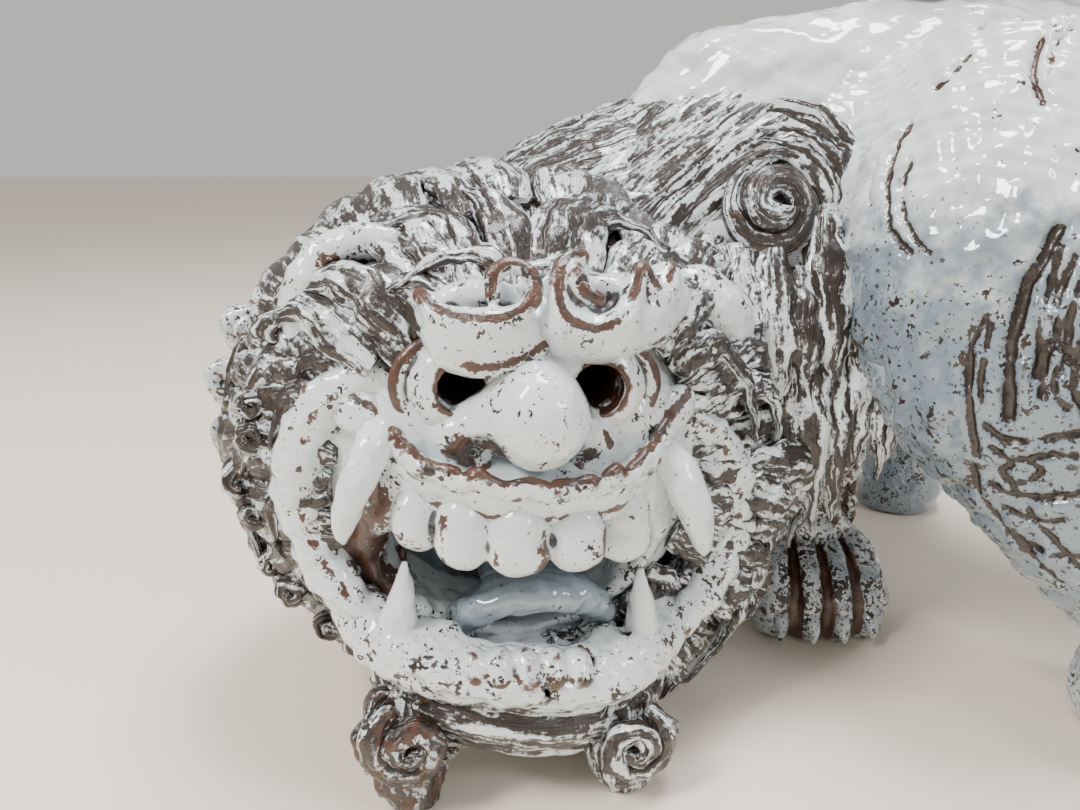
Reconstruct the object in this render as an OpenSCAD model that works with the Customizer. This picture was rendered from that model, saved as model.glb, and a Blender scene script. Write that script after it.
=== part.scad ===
// Glazed stoneware guardian lion, crouching with its head turned to the front.
// Every piece is a separately formed piece of clay. Pieces meet face to face, where they were luted.
// Millimetres, +Z up. The origin is under the middle of the figure, on the surface it stands on.
// "Left" and "right" are the animal's own: the face looks along -Y and the body runs along +X.

/* [Head] */
// Place of the head's axis along X
head_x = -94; // [-96:1:-92]
// Place of the head's axis along Y
head_y = -61.5; // [-63.5:0.5:-59.5]
// Turn of the face towards +X, in degrees
head_yaw = 11; // [8:1:14]
// Lean of the head, in degrees: its right side is the higher one
head_lean = 7; // [5:1:9]
// Outer radius of the skull
skull_r = 72; // [70:0.5:73]
// Outer radius of the mane's base
ruff_r = 84; // [82:0.5:85]
// Distance between the eyes
eye_gap = 37; // [35:1:40]
// Radius of an eye's hole
pupil_r = 6.8; // [6:0.2:7.4]

/* [Body] */
// Thickness of the fired clay walls
wall = 8; // [6:0.5:9]
// Radius of the torso at the shoulders
shoulder_r = 58; // [56:1:60]
// Radius of the torso at the hips
hip_r = 56; // [54:1:58]
// Radius of the pinhole that lets steam out of a closed hollow
vent_r = 1.5; // [1:0.25:1.75]

/* [Feet] */
// Width of a paw
paw_w = 58; // [54:1:60]
// Number of toes on a paw
toes = 4; // [3:1:5]

/* [Mane] */
// Radius of a mane lock at its thickest
lock_r = 10; // [9:0.5:11]

/* [Hidden] */
$fn = 120;

LEFT = 1;
RIGHT = -1;
glaze = "#dfe5e8";
grey_glaze = "#aab3ba";
bare_clay = "#5a4036";

// ---- Clay forms -------------------------------------------------------------------------------

function unit(v) = v / norm(v);
// Direction of a path at point i.
function along(path, i) = unit(path[min(i + 1, len(path) - 1)] - path[max(i - 1, 0)]);
// Ring i of a form carried along a path: its radius sideways, and `flat` times that across.
function ring(path, radii, i, sides, flat, facing) =
    let (t = along(path, i), n = unit(cross(t, facing)), b = cross(n, t))
    [for (k = [0:sides - 1]) let (a = 360 * k / sides)
        path[i] + radii[i] * (cos(a) * n + flat * sin(a) * b)];

// A rolled piece of clay: rings of the given radii along a path, closed at both ends.
module roll(path, radii, sides = 10, flat = 1, facing = [0, 0, 1]) {
    rings = len(path);
    points = [for (i = [0:rings - 1]) each ring(path, radii, i, sides, flat, facing)];
    first = [for (k = [sides - 1:-1:0]) k];
    last = [for (k = [0:sides - 1]) (rings - 1) * sides + k];
    walls = [for (i = [0:rings - 2], k = [0:sides - 1])
        let (a = i * sides + k, b = i * sides + (k + 1) % sides, c = a + sides, d = b + sides)
        each [[a, b, c], [b, d, c]]];
    polyhedron(points = points, faces = concat([first], [last], walls));
}

// A lock of hair: a roll that sweeps aside as it goes from its root and thins to its tip.
module lock(at, out, aside, length, radius) {
    steps = [0:0.2:1];
    roll([for (s = steps) at + length * (s * out + 0.42 * s * s * aside)],
        [for (s = steps) radius * (0.7 + 0.5 * sin(180 * s)) * (1 - 0.85 * pow(s, 3))],
        sides = 8, flat = 0.8);
}

// A tooth or claw: a cone with a round tip, from its root to its point.
module fang(at, to, radius) {
    d = to - at;
    length = norm(d);
    translate(at) rotate([0, acos(d[2] / length), atan2(d[1], d[0])]) {
        cylinder(r1 = radius, r2 = radius * 0.4, h = length - radius * 0.4);
        translate([0, 0, length - radius * 0.4]) sphere(r = radius * 0.4);
        sphere(r = radius);
    }
}

module ball(at, r) { translate(at) sphere(r = r); }

// Part of a ring of clay, standing in the XZ plane: from angle `from`, over `turn` degrees.
module hoop(big_r, small_r, from, turn) {
    rotate([90, 0, 0]) rotate([0, 0, from]) rotate_extrude(angle = turn)
        translate([big_r, 0]) circle(r = small_r);
}

// A coiled curl facing -Y.
module coil(at, r) {
    translate(at) {
        hoop(r * 0.6, r * 0.4, 0, 360);
        sphere(r = r * 0.45);
    }
}

// Everything below the surface that the figure stands on.
module underground() { translate([-250, -250, -100]) cube([500, 500, 100]); }

// ---- Where things are -------------------------------------------------------------------------

module turned() { translate([head_x, head_y, 0]) rotate([0, 0, head_yaw]) children(); }
module in_head() { turned() translate([0, 0, 105]) rotate([0, head_lean, 0]) translate([0, 0, -105]) children(); }
skull_at = [0, 0, 97];
// A point near the skull: `turn` goes round the face (0 is up, 90 is the animal's left),
// `back` is the angle away from straight ahead, and r is the distance from the skull's middle.
function on_head(turn, back, r) =
    skull_at + r * [sin(turn) * sin(back), -cos(back), cos(turn) * sin(back)];

spine = [[-92, 8, 112], [-80, 8, 122], [-50, 12, 142], [-12, 12, 163], [30, 8, 178],
    [75, 2, 186], [115, -2, 180], [146, -4, 165], [160, -4, 152]];
spine_r = [14, 36, shoulder_r - 4, shoulder_r, shoulder_r - 3, hip_r, hip_r - 2, 36, 14];

front_top = [[16, -34, 150], [-52, 40, 128]];
front_foot = [[34, -16, 0], [-76, 52, 0]];
hind_top = [[72, -46, 170], [80, 50, 166]];
hind_foot = [[128, -104, 0], [122, 104, 0]];
hind_turn = [6, 176];
function at_side(pair, side) = side == LEFT ? pair[0] : pair[1];

// ---- Torso and the mane on it -------------------------------------------------------------------

module torso_form() { roll(spine, spine_r, sides = 20); }
module ruff_form() { in_head() ball(skull_at, ruff_r); }

module torso() color(glaze) {
    inner = [for (i = [1:len(spine) - 2]) spine[i]];
    inner_r = [for (i = [1:len(spine) - 2]) spine_r[i] - wall];
    difference() {
        torso_form();
        roll(inner, inner_r, sides = 20);
        ruff_form();
        translate([50, 2, 90]) cylinder(r = vent_r, h = 60);
    }
}

module mantle_form() {
    roll([[-84, -14, 118], [-58, 4, 140], [-34, 10, 154], [-10, 10, 165]], [58, 66, 66, 60], sides = 20);
}
module mane_mantle() color(grey_glaze) difference() {
    mantle_form();
    torso_form();
    ruff_form();
    shoulder_curl_form(LEFT);
    shoulder_curl_form(RIGHT);
    front_leg_form(LEFT);
    front_leg_form(RIGHT);
}

// ---- Head -------------------------------------------------------------------------------------

module mouth_cut() {
    translate([0, -30, 77]) rotate([90, 0, 0]) linear_extrude(60) {
        square([52, 42], center = true);
        for (s = [LEFT, RIGHT]) translate([s * 26, 0]) circle(r = 21);
    }
}
module pupils() {
    for (s = [LEFT, RIGHT]) translate([s * eye_gap / 2, -40, 129])
        rotate([90, 0, 0]) cylinder(r = pupil_r, h = 40);
}
// The mouth's room behind the teeth: radius, and distance forward of the skull's middle, from its back.
mouth_wall = [[0, -12], [26, -7], [38, 12], [43, 46], [39, 46], [34, 14], [22, -3], [0, -8]];
mouth_room = [[0, -8], [22, -3], [34, 14], [39, 46], [40, 100], [0, 100]];
module mouth_form(profile) {
    translate([0, 0, 80]) rotate([90, 0, 0]) rotate_extrude() polygon(profile);
}
module skull_shell(outer_r) {
    difference() {
        ball(skull_at, outer_r);
        ball(skull_at, skull_r - wall);
    }
}

module skull() color(glaze) in_head() difference() {
    ball(skull_at, skull_r);
    ball(skull_at, skull_r - wall);
    mouth_cut();
    pupils();
    translate([0, 30, skull_at[2]]) rotate([-90, 0, 0]) cylinder(r = vent_r, h = 60);
}

module mouth_lining() color(grey_glaze) in_head() difference() {
    mouth_form(mouth_wall);
    skull_shell(skull_r + 20);
}

jaw_at = [0, -30, 46];
module jaw_ring(z, big_r, small_r) { translate([0, jaw_at[1], z]) rotate_extrude() translate([big_r, 0]) circle(r = small_r); }
module jaw_form() {
    jaw_ring(jaw_at[2], 36, 9);
    translate([0, jaw_at[1], 37]) cylinder(r = 36, h = 5);
}
module lower_jaw() color(glaze) in_head() difference() {
    jaw_form();
    ball(skull_at, skull_r);
}

muzzle_at = [0, -40, 93];
module muzzle_form() { translate(muzzle_at) cylinder(r = 35, h = 20); }
module lip_form() { translate([0, -37, 105]) rotate_extrude() translate([35, 0]) circle(r = 5); }
module nose_form() {
    ball([0, -67, 123], 13);
    for (s = [LEFT, RIGHT]) ball([s * 14, -63, 117], 9.5);
}

module muzzle() color(glaze) in_head() difference() {
    muzzle_form();
    ball(skull_at, skull_r);
    lip_form();
    nose_form();
}

module upper_lip() color(glaze) in_head() difference() {
    lip_form();
    ball(skull_at, skull_r);
    nose_form();
}

module nose() color(glaze) in_head() difference() {
    nose_form();
    for (s = [LEFT, RIGHT]) translate([s * 12, -74, 110]) rotate([-35, 0, 0])
        cylinder(r = 4, h = 14, center = true);
    ball(skull_at, skull_r);
}

module eye(side) color(glaze) in_head() difference() {
    ball([side * eye_gap / 2, -56, 129], 11);
    pupils();
    ball(skull_at, skull_r);
    nose_form();
}

module brow_form(side) {
    ball([side * 9, -55, 147], 9);
    ball([side * 19, -53, 152], 11);
    ball([side * 32, -46, 148], 9);
}
module brow(side) color(glaze) in_head() difference() {
    brow_form(side);
    ball(skull_at, skull_r);
    if (side == LEFT) translate([-40, -90, 120]) cube([40, 90, 60]);
    if (side == RIGHT) translate([0, -90, 120]) cube([40, 90, 60]);
}

module ear_form(side) {
    ball([side * 52, -26, 150], 18);
    ball([side * 58, -34, 140], 14);
}
module ear(side) color(glaze) in_head() difference() {
    ear_form(side);
    ball([side * 52, -42, 150], 11);
    ball(skull_at, ruff_r);
}

module cheek_form(side) {
    translate([side * 32, -42, 86]) mirror([side == LEFT ? 0 : 1, 0, 0]) hoop(36, 8, -62, 118);
}
module cheek(side) color(glaze) in_head() difference() {
    cheek_form(side);
    ball(skull_at, skull_r);
    muzzle_form();
    lip_form();
    jaw_form();
}

module upper_teeth() color(glaze) in_head() difference() {
    for (turn = [-56, -28, 0, 28, 56])
        translate([28 * sin(turn), muzzle_at[1] - 28 * cos(turn), 0]) {
            ball([0, 0, 86], 7.2);
            translate([0, 0, 86]) cylinder(r = 7.2, h = 7);
        }
    translate(muzzle_at) cylinder(r = 60, h = 8);
}

module lower_teeth() color(glaze) in_head() difference() {
    for (turn = [-40, -20, 0, 20, 40])
        ball([36 * sin(turn), jaw_at[1] - 36 * cos(turn), 54], 5);
    jaw_form();
}

module upper_fang(side) color(glaze) in_head() difference() {
    fang([side * 41, -62, 106], [side * 50, -66, 80], 6);
    muzzle_form();
    lip_form();
    ball(skull_at, skull_r);
    cheek_form(side);
}

module lower_fang(side) color(glaze) in_head() difference() {
    fang([side * 34, -54, 52], [side * 35, -62, 79], 5.5);
    jaw_form();
    cheek_form(side);
    ball(skull_at, skull_r);
}

module tongue() color(grey_glaze) in_head() intersection() {
    roll([[0, 10, 66], [0, -10, 62], [0, -28, 67], [0, -46, 68], [0, -58, 62]],
        [20, 22, 25, 23, 13], sides = 14, flat = 0.22);
    mouth_form(mouth_room);
}

// ---- Beard and the two curls that the head rests on ---------------------------------------------

module beard_curl_form(side) {
    height = side == LEFT ? 22 : 28;
    turned() difference() {
        union() {
            coil([side * 34, -64, height], 17);
            ball([side * 34, -58, height], 13);
            translate([side * 34, -62, 0]) cylinder(r1 = 14, r2 = 11, h = height);
        }
        underground();
    }
}
module beard_curl(side) color(bare_clay) difference() {
    beard_curl_form(side);
    in_head() jaw_form();
    in_head() ball(skull_at, skull_r);
    in_head() jaw_ring(31, 32, 8);
}

module chin_beard() color(glaze) in_head() difference() {
    jaw_ring(31, 32, 8);
    jaw_form();
    ball(skull_at, skull_r);
}

// ---- Mane -------------------------------------------------------------------------------------

// A round form turned about the face's axis, from `front` backwards, between two radii.
module bowl(inner_r, outer_r, front) {
    translate(skull_at) rotate([90, 0, 0]) rotate_extrude() difference() {
        circle(r = outer_r);
        circle(r = inner_r);
        translate([-200, -200]) square([200, 400]);
        translate([-1, -front]) square([200, 200]);
    }
}
module mane_ruff() color(grey_glaze) in_head() bowl(skull_r, ruff_r, -22);

// Locks that lie over the head, fanned out from the face. Each runs from the angle back[0] to back[1],
// rising from radius r[0] to r[1], and bends down and outwards.
module head_locks(turns, back, r) {
    for (turn = turns) {
        root = on_head(turn, back[0], r[0]);
        tip = on_head(turn, back[1], r[1]);
        middle = on_head(turn, (back[0] + back[1]) / 2, 1) - skull_at;
        across = sign(turn) * unit(cross(tip - root, middle));
        lock(root, unit(tip - root), 0.6 * across, norm(tip - root), lock_r);
    }
}
// The mane's base with the skull left in it.
module ruff_block() { bowl(0, ruff_r, -22); }

module crown_locks() color(glaze) in_head() difference() {
    head_locks([-30, -15, 1, 16, 31], [46, 84], [skull_r, ruff_r]);
    ball(skull_at, skull_r);
    ruff_block();
    brow_form(LEFT);
    brow_form(RIGHT);
}

front_row = [74, 91, 108, 125];
back_row = [66, 84, 102, 120, 138];
function to_side(turns, side) = [for (t = turns) side * t];
front_flare = [14, 1];
back_flare = [6, 0];
module front_row_form(side)
    head_locks(to_side(front_row, side), [60, 90], [skull_r + 3, ruff_r + at_side(front_flare, side)]);
module back_row_form(side)
    head_locks(to_side(back_row, side), [108, 140], [ruff_r - 3, ruff_r + at_side(back_flare, side)]);

module mane_locks(side) color(glaze) difference() {
    in_head() difference() {
        front_row_form(side);
        ball(skull_at, skull_r);
        ruff_block();
        cheek_form(side);
        ear_form(side);
    }
    mantle_form();
    front_leg_form(side);
}
module mane_back(side) color(grey_glaze) difference() {
    in_head() back_row_form(side);
    ruff_form();
    torso_form();
    mantle_form();
    front_leg_form(side);
}
module mane_curls(side) color(glaze) in_head() difference() {
    for (turn = [57, 79, 101]) coil(on_head(side * turn, 98, ruff_r + 3), 9);
    ball(skull_at, ruff_r);
}
module beard_locks(side) color(glaze) difference() {
    in_head() difference() {
        head_locks(to_side([142, 160], side), [54, 88], [skull_r + 2, ruff_r + 1]);
        ball(skull_at, skull_r);
        ruff_block();
        jaw_form();
        jaw_ring(31, 32, 8);
        cheek_form(side);
    }
    beard_curl_form(side);
    underground();
}
module nape_locks() color(glaze) difference() {
    in_head() {
        head_locks([-45, -30, -15, 1, 16, 31, 46], [88, 114], [ruff_r - 3, ruff_r + 1]);
        head_locks([-40, -20, 1, 21], [118, 148], [ruff_r - 3, ruff_r + 1]);
    }
    ruff_form();
    torso_form();
    mantle_form();
}

shoulder_curl_at = [[-2, -56, 172], [-12, 72, 170]];
module shoulder_curl_form(side) { coil(at_side(shoulder_curl_at, side), 17); }
module shoulder_curl(side) color(bare_clay) difference() {
    shoulder_curl_form(side);
    torso_form();
}
module hanging_locks(side) {
    top = at_side(front_top, side);
    for (k = [0:3])
        lock(top + [-34 + 18 * k, -33 * side, 4], [0.08, -0.1 * side, -1], [0.2, 0, 0], 68, 10);
}
module shoulder_locks(side) color(glaze) difference() {
    union() {
        for (k = [0:2])
            lock([-56 + 14 * k, side == LEFT ? -52 : 74, 158 - 16 * k], [0.9, -0.1 * side, 0.45],
                [-0.3, 0, 0.8], 40, 9);
        hanging_locks(side);
    }
    in_head() front_row_form(side);
    torso_form();
    mantle_form();
    shoulder_curl_form(side);
    front_leg_form(side);
    ruff_form();
}

// ---- Legs and paws ----------------------------------------------------------------------------

module front_leg_form(side) {
    top = at_side(front_top, side);
    foot = at_side(front_foot, side);
    knee = (top + foot) / 2 + [2, 2 * side, 10];
    roll([top + [0, 0, 14], top, knee, foot + [0, 8, 48], foot + [0, 8, 28]],
        [14, 28, 22, 18, 21], sides = 14, facing = [0, 1, 0.01]);
}

module front_leg(side) color(bare_clay) difference() {
    front_leg_form(side);
    torso_form();
    paw_form(at_side(front_foot, side), 0);
    ruff_form();
}

// Where toe k springs from, how far round it points, and where its end comes down.
function toe(k) = ((k + 0.5) / toes - 0.5);
function toe_root(k) = [toe(k) * (paw_w - 16), -4 + 20 * pow(toe(k), 2), 26];
function toe_end(k) = [toe(k) * (paw_w - 12), 20 * pow(toe(k), 2) - 22, 10];

// A paw points its toes along -Y before it is turned.
module paw_form(at, turn) {
    translate(at) rotate([0, 0, turn]) difference() {
        union() {
            ball([0, 7, 20], 23);
            translate([0, 7, 0]) cylinder(r1 = 25, r2 = 22, h = 20);
            for (k = [0:toes - 1]) {
                ball(toe_root(k), 11);
                ball(toe_end(k), 10.5);
                ball((toe_root(k) + toe_end(k)) / 2 + [0, -3, 3], 11);
            }
        }
        underground();
    }
}

module claws_form(at, turn) {
    translate(at) rotate([0, 0, turn]) for (k = [0:toes - 1])
        fang(toe_end(k) + [0, -7, 2], toe_end(k) + [toe(k) * 3, -12, -8], 3.2);
}

module paw(feet, turn, side) color(bare_clay) paw_form(at_side(feet, side), turn);
module claws(feet, turn, side) color(glaze) difference() {
    claws_form(at_side(feet, side), turn);
    paw_form(at_side(feet, side), turn);
    underground();
}

module hind_leg_form(side) {
    top = at_side(hind_top, side);
    foot = at_side(hind_foot, side);
    out = -side;
    knee = [top[0] - 2, top[1] + out * 32, 124];
    shank = [(knee[0] + foot[0]) / 2 - 1, (knee[1] + foot[1]) / 2 + out * 2, 76];
    roll([top + [6, 0, 40], top + [6, out * 6, 26], top + [0, out * 14, -10], knee, shank,
        foot + [0, -out * 4, 42], foot + [0, -out * 4, 24]],
        [18, 42, 51, 38, 25, 20, 22], sides = 16, facing = [0, 1, 0.01]);
}

module hind_leg(side) color(glaze) difference() {
    hind_leg_form(side);
    torso_form();
    paw_form(at_side(hind_foot, side), at_side(hind_turn, side));
    front_leg_form(side);
}

module hind_tuft(side) color(bare_clay) difference() {
    foot = at_side(hind_foot, side);
    out = -side;
    for (k = [0:4])
        lock(foot + [-8 + 2 * k, out * (-14 + 3 * k), 88 - 14 * k], [0.85, out * 0.25, -0.35],
            [0.2, 0, 0.9], 30, 8);
    hind_leg_form(side);
    torso_form();
    paw_form(at_side(hind_foot, side), at_side(hind_turn, side));
}

// ---- Tail -------------------------------------------------------------------------------------

tail_path = [[136, -2, 196], [154, -1, 214], [164, 0, 240], [152, -2, 266], [124, -4, 281], [92, -6, 278]];
module tail_root_form() {
    roll(tail_path, [20, 23, 24, 25, 24, 19], sides = 14, facing = [0, 1, 0.01]);
}
module tail_root() color(glaze) difference() {
    tail_root_form();
    torso_form();
}
module tail_curl_form() { coil([56, -8, 260], 26); ball([78, -7, 270], 19); }
module tail_curl() color(glaze) difference() {
    tail_curl_form();
    tail_root_form();
    torso_form();
}
module tail_plume() color(glaze) difference() {
    for (k = [1:4], s = [LEFT, RIGHT])
        lock(tail_path[k] + [0, -10 * s, 6], unit([0.55 - 0.35 * k, -1.3 * s, 0.2 + 0.2 * k]),
            [-0.7, 0, 0.8], 38, 10);
    tail_root_form();
    tail_curl_form();
    torso_form();
}

// ---- Assembly ---------------------------------------------------------------------------------

torso();
mane_mantle();
skull();
mouth_lining();
lower_jaw();
muzzle();
upper_lip();
nose();
eye(LEFT);  // eye_left
eye(RIGHT);  // eye_right
brow(LEFT);  // brow_left
brow(RIGHT);  // brow_right
ear(LEFT);  // ear_left
ear(RIGHT);  // ear_right
cheek(LEFT);  // cheek_left
cheek(RIGHT);  // cheek_right
upper_teeth();
lower_teeth();
upper_fang(LEFT);  // upper_fang_left
upper_fang(RIGHT);  // upper_fang_right
lower_fang(LEFT);  // lower_fang_left
lower_fang(RIGHT);  // lower_fang_right
tongue();
chin_beard();
beard_curl(LEFT);  // beard_curl_left
beard_curl(RIGHT);  // beard_curl_right
beard_locks(LEFT);  // beard_locks_left
beard_locks(RIGHT);  // beard_locks_right
mane_ruff();
crown_locks();
mane_locks(LEFT);  // mane_locks_left
mane_locks(RIGHT);  // mane_locks_right
mane_back(LEFT);  // mane_back_left
mane_back(RIGHT);  // mane_back_right
mane_curls(LEFT);  // mane_curls_left
mane_curls(RIGHT);  // mane_curls_right
nape_locks();
shoulder_locks(LEFT);  // shoulder_locks_left
shoulder_locks(RIGHT);  // shoulder_locks_right
shoulder_curl(LEFT);  // shoulder_curl_left
shoulder_curl(RIGHT);  // shoulder_curl_right
front_leg(LEFT);  // front_leg_left
front_leg(RIGHT);  // front_leg_right
paw(front_foot, 0, LEFT);  // front_paw_left
paw(front_foot, 0, RIGHT);  // front_paw_right
claws(front_foot, 0, LEFT);  // front_claws_left
claws(front_foot, 0, RIGHT);  // front_claws_right
hind_leg(LEFT);  // hind_leg_left
hind_leg(RIGHT);  // hind_leg_right
paw(hind_foot, at_side(hind_turn, LEFT), LEFT);  // hind_paw_left
paw(hind_foot, at_side(hind_turn, RIGHT), RIGHT);  // hind_paw_right
claws(hind_foot, at_side(hind_turn, LEFT), LEFT);  // hind_claws_left
claws(hind_foot, at_side(hind_turn, RIGHT), RIGHT);  // hind_claws_right
hind_tuft(LEFT);  // hind_tuft_left
hind_tuft(RIGHT);  // hind_tuft_right
tail_root();
tail_plume();
tail_curl();
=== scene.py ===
# %% [markdown]
# # A glazed stoneware guardian lion
# The real figure is wet clay, pressed, rolled and combed, then glazed white so thickly that the glaze only
# lets the brown clay show where it runs thin: on rims, in combed grooves and at pinholes.
# The CAD gives the layout. Every piece below stands for one CAD node and is built where that node is.

# %% Load the frame
import bpy
import math
import numpy as np
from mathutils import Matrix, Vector


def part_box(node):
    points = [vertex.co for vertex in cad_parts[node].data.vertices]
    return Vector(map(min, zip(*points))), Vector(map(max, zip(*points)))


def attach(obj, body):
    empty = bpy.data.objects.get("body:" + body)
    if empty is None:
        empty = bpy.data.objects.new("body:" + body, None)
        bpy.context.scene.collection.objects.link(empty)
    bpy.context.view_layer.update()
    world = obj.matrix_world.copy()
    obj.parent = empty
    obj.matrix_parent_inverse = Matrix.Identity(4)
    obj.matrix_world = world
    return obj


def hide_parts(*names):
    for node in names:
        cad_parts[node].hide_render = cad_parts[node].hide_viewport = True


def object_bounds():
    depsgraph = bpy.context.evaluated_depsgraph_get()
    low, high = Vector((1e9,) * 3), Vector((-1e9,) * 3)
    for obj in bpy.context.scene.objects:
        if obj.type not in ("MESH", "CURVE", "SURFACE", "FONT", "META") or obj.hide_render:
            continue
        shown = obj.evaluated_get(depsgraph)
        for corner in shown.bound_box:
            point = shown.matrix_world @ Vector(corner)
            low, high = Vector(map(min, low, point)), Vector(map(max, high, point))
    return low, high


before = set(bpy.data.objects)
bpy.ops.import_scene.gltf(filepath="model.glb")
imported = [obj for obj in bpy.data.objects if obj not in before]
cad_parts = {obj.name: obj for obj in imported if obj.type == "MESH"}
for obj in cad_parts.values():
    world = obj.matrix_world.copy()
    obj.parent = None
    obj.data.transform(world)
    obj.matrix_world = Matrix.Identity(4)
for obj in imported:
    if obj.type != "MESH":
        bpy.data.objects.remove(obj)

CAD_BOX = [list(map(float, corner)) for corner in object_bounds()]
MM = 0.001
FINE = 1.0
print("nodes:", len(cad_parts), "box in mm:", [[round(v * 1000) for v in c] for c in CAD_BOX])

# %% [markdown]
# ## Two ways of shaping clay
# Hair, teeth and claws are rolls: a profile carried along a path. Each is one grid of points, so combed
# grooves can be cut into the profile itself.
# Faces, bodies and paws are lumps pressed into one another, and a grid can't follow them where they blend.
# For those, a block of space holds the distance to the surface, each lump is blended into it, and the
# surface is then drawn where the distance is zero.

# %% Paths and rough noise
def smooth_path(points, count):
    """Points spread along a curve through the given ones: on each stretch a cubic whose slope at a point
    is half the step between that point's neighbours. Extra columns, such as a radius, run along with it."""
    p = np.asarray(points, float)
    p = np.vstack([2 * p[0] - p[1], p, 2 * p[-1] - p[-2]])
    spans = len(p) - 3
    t = np.linspace(0, spans, count)
    i = np.minimum(t.astype(int), spans - 1)
    u = (t - i)[:, None]
    a, b, c, d = p[i], p[i + 1], p[i + 2], p[i + 3]
    return 0.5 * (2 * b + (c - a) * u + (2 * a - 5 * b + 4 * c - d) * u ** 2 + (3 * b - a - 3 * c + d) * u ** 3)


def wobble(p, size, seed, octaves=2):
    """Soft lumps between about -1 and 1: a sum of sine waves in random directions, `size` apart."""
    rng = np.random.default_rng(seed)
    out = np.zeros(len(p))
    for k in range(octaves):
        for _ in range(5):
            way = rng.normal(size=3)
            way *= 2 * math.pi / (size * (0.7 + 0.6 * rng.random()) * np.linalg.norm(way)) * 2 ** k
            out += np.sin(p @ way + rng.random() * 6.3) / 2 ** k
    return out / 3.2


# %% Frames of the head and body
def centre(node):
    lo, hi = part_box(node)
    return (np.array(lo) + np.array(hi)) / 2 * 1000


YAW = math.radians(11)
HEAD = centre("skull") * [1, 1, 0]
ACROSS = np.array([math.cos(YAW), math.sin(YAW), 0])
BEHIND = np.array([-math.sin(YAW), math.cos(YAW), 0])


def to_world(p):
    """Head coordinates are millimetres across the face, behind its middle, and up."""
    p = np.asarray(p, float)
    return HEAD + p[:, :1] * ACROSS + p[:, 1:2] * BEHIND + p[:, 2:3] * [0, 0, 1]


print("head at", HEAD.round(1))


# %% A block of clay
class Clay:
    """A block of space that holds at each point the distance to the clay, negative inside it."""

    def __init__(self, lo, hi, step):
        self.step = step * FINE
        self.axes = [np.arange(l, h + self.step, self.step, dtype=np.float32) for l, h in zip(lo, hi)]
        self.f = np.full([len(a) for a in self.axes], 12.0, np.float32)
        self.painted = []

    def window(self, lo, hi):
        s = tuple(slice(max(int(np.searchsorted(a, l)) - 1, 0), int(np.searchsorted(a, h)) + 1)
                  for a, l, h in zip(self.axes, lo, hi))
        shape = ((-1, 1, 1), (1, -1, 1), (1, 1, -1))
        return s, [self.axes[i][s[i]].reshape(shape[i]) for i in range(3)]

    def _blend(self, s, d, k, carve):
        f = self.f[s]
        if carve:
            h = np.maximum(k - np.abs(f + d), 0) / k
            self.f[s] = np.maximum(f, -d) + h * h * k / 4
        else:
            h = np.maximum(k - np.abs(f - d), 0) / k
            self.f[s] = np.minimum(f, d) - h * h * k / 4

    def roll(self, points, k=2.0, carve=False, count=14, flat=None):
        """A roll of clay along a path of (x, y, z, radius). `flat` is a direction and a factor that
        squeezes the roll along it."""
        path = smooth_path(points, count) if len(points) > 2 else np.asarray(points, float)
        reach = path[:, 3].max() + k + 2.5 * self.step
        s, (x, y, z) = self.window((path[:, :3] - reach).min(0), (path[:, :3] + reach).max(0))
        best = None
        for a, b in zip(path[:-1], path[1:]):
            d = b - a
            t = np.clip(((x - a[0]) * d[0] + (y - a[1]) * d[1] + (z - a[2]) * d[2]) / (d[:3] @ d[:3] + 1e-9), 0, 1)
            ex, ey, ez = x - a[0] - t * d[0], y - a[1] - t * d[1], z - a[2] - t * d[2]
            square = ex * ex + ey * ey + ez * ez
            if flat is not None:
                n, squeeze = np.asarray(flat[0], float), flat[1]
                n = n / np.linalg.norm(n)
                along = ex * n[0] + ey * n[1] + ez * n[2]
                square = square + along * along * (1 / squeeze ** 2 - 1)
            e = np.sqrt(square) - (a[3] + t * d[3])
            best = e if best is None else np.minimum(best, e)
        self._blend(s, best.astype(np.float32), k, carve)
        return self

    def lump(self, at, radii, k=2.0, carve=False, turn=None):
        """An egg with its three radii, along X, Y and Z or along the rows of `turn`."""
        radii = np.broadcast_to(np.asarray(radii, float), 3)
        reach = radii.max() + k + 2.5 * self.step
        at = np.asarray(at, float)
        s, (x, y, z) = self.window(at - reach, at + reach)
        p = [x - at[0], y - at[1], z - at[2]]
        if turn is not None:
            p = [sum(p[j] * turn[i][j] for j in range(3)) for i in range(3)]
        k0 = np.sqrt(sum((p[i] / radii[i]) ** 2 for i in range(3))) + 1e-6
        k1 = np.sqrt(sum((p[i] / radii[i] ** 2) ** 2 for i in range(3))) + 1e-6
        self._blend(s, (k0 * (k0 - 1) / k1).astype(np.float32), k, carve)
        return self

    def floor(self, z):
        """Cuts the clay flat at a height."""
        self.f = np.maximum(self.f, z - self.axes[2].reshape(1, 1, -1))
        return self

    def keep(self, other, grow=0.0):
        """Keeps only what is inside another distance field given as a function of x, y and z."""
        x, y, z = (self.axes[i].reshape([-1 if j == i else 1 for j in range(3)]) for i in range(3))
        self.f = np.maximum(self.f, (other(x, y, z) - grow).astype(np.float32))
        return self

    def paint(self, points, radius, strength=1.0, cut=0.0):
        """Marks a path where the glaze shows bare clay: where it was wiped or ran off, and inside deep holes as painted
        shade. `cut` also presses a line that deep.
        """
        self.painted.append((smooth_path(points, 24) if len(points) > 2 else np.asarray(points, float),
                             radius, strength, cut))
        return self


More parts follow.
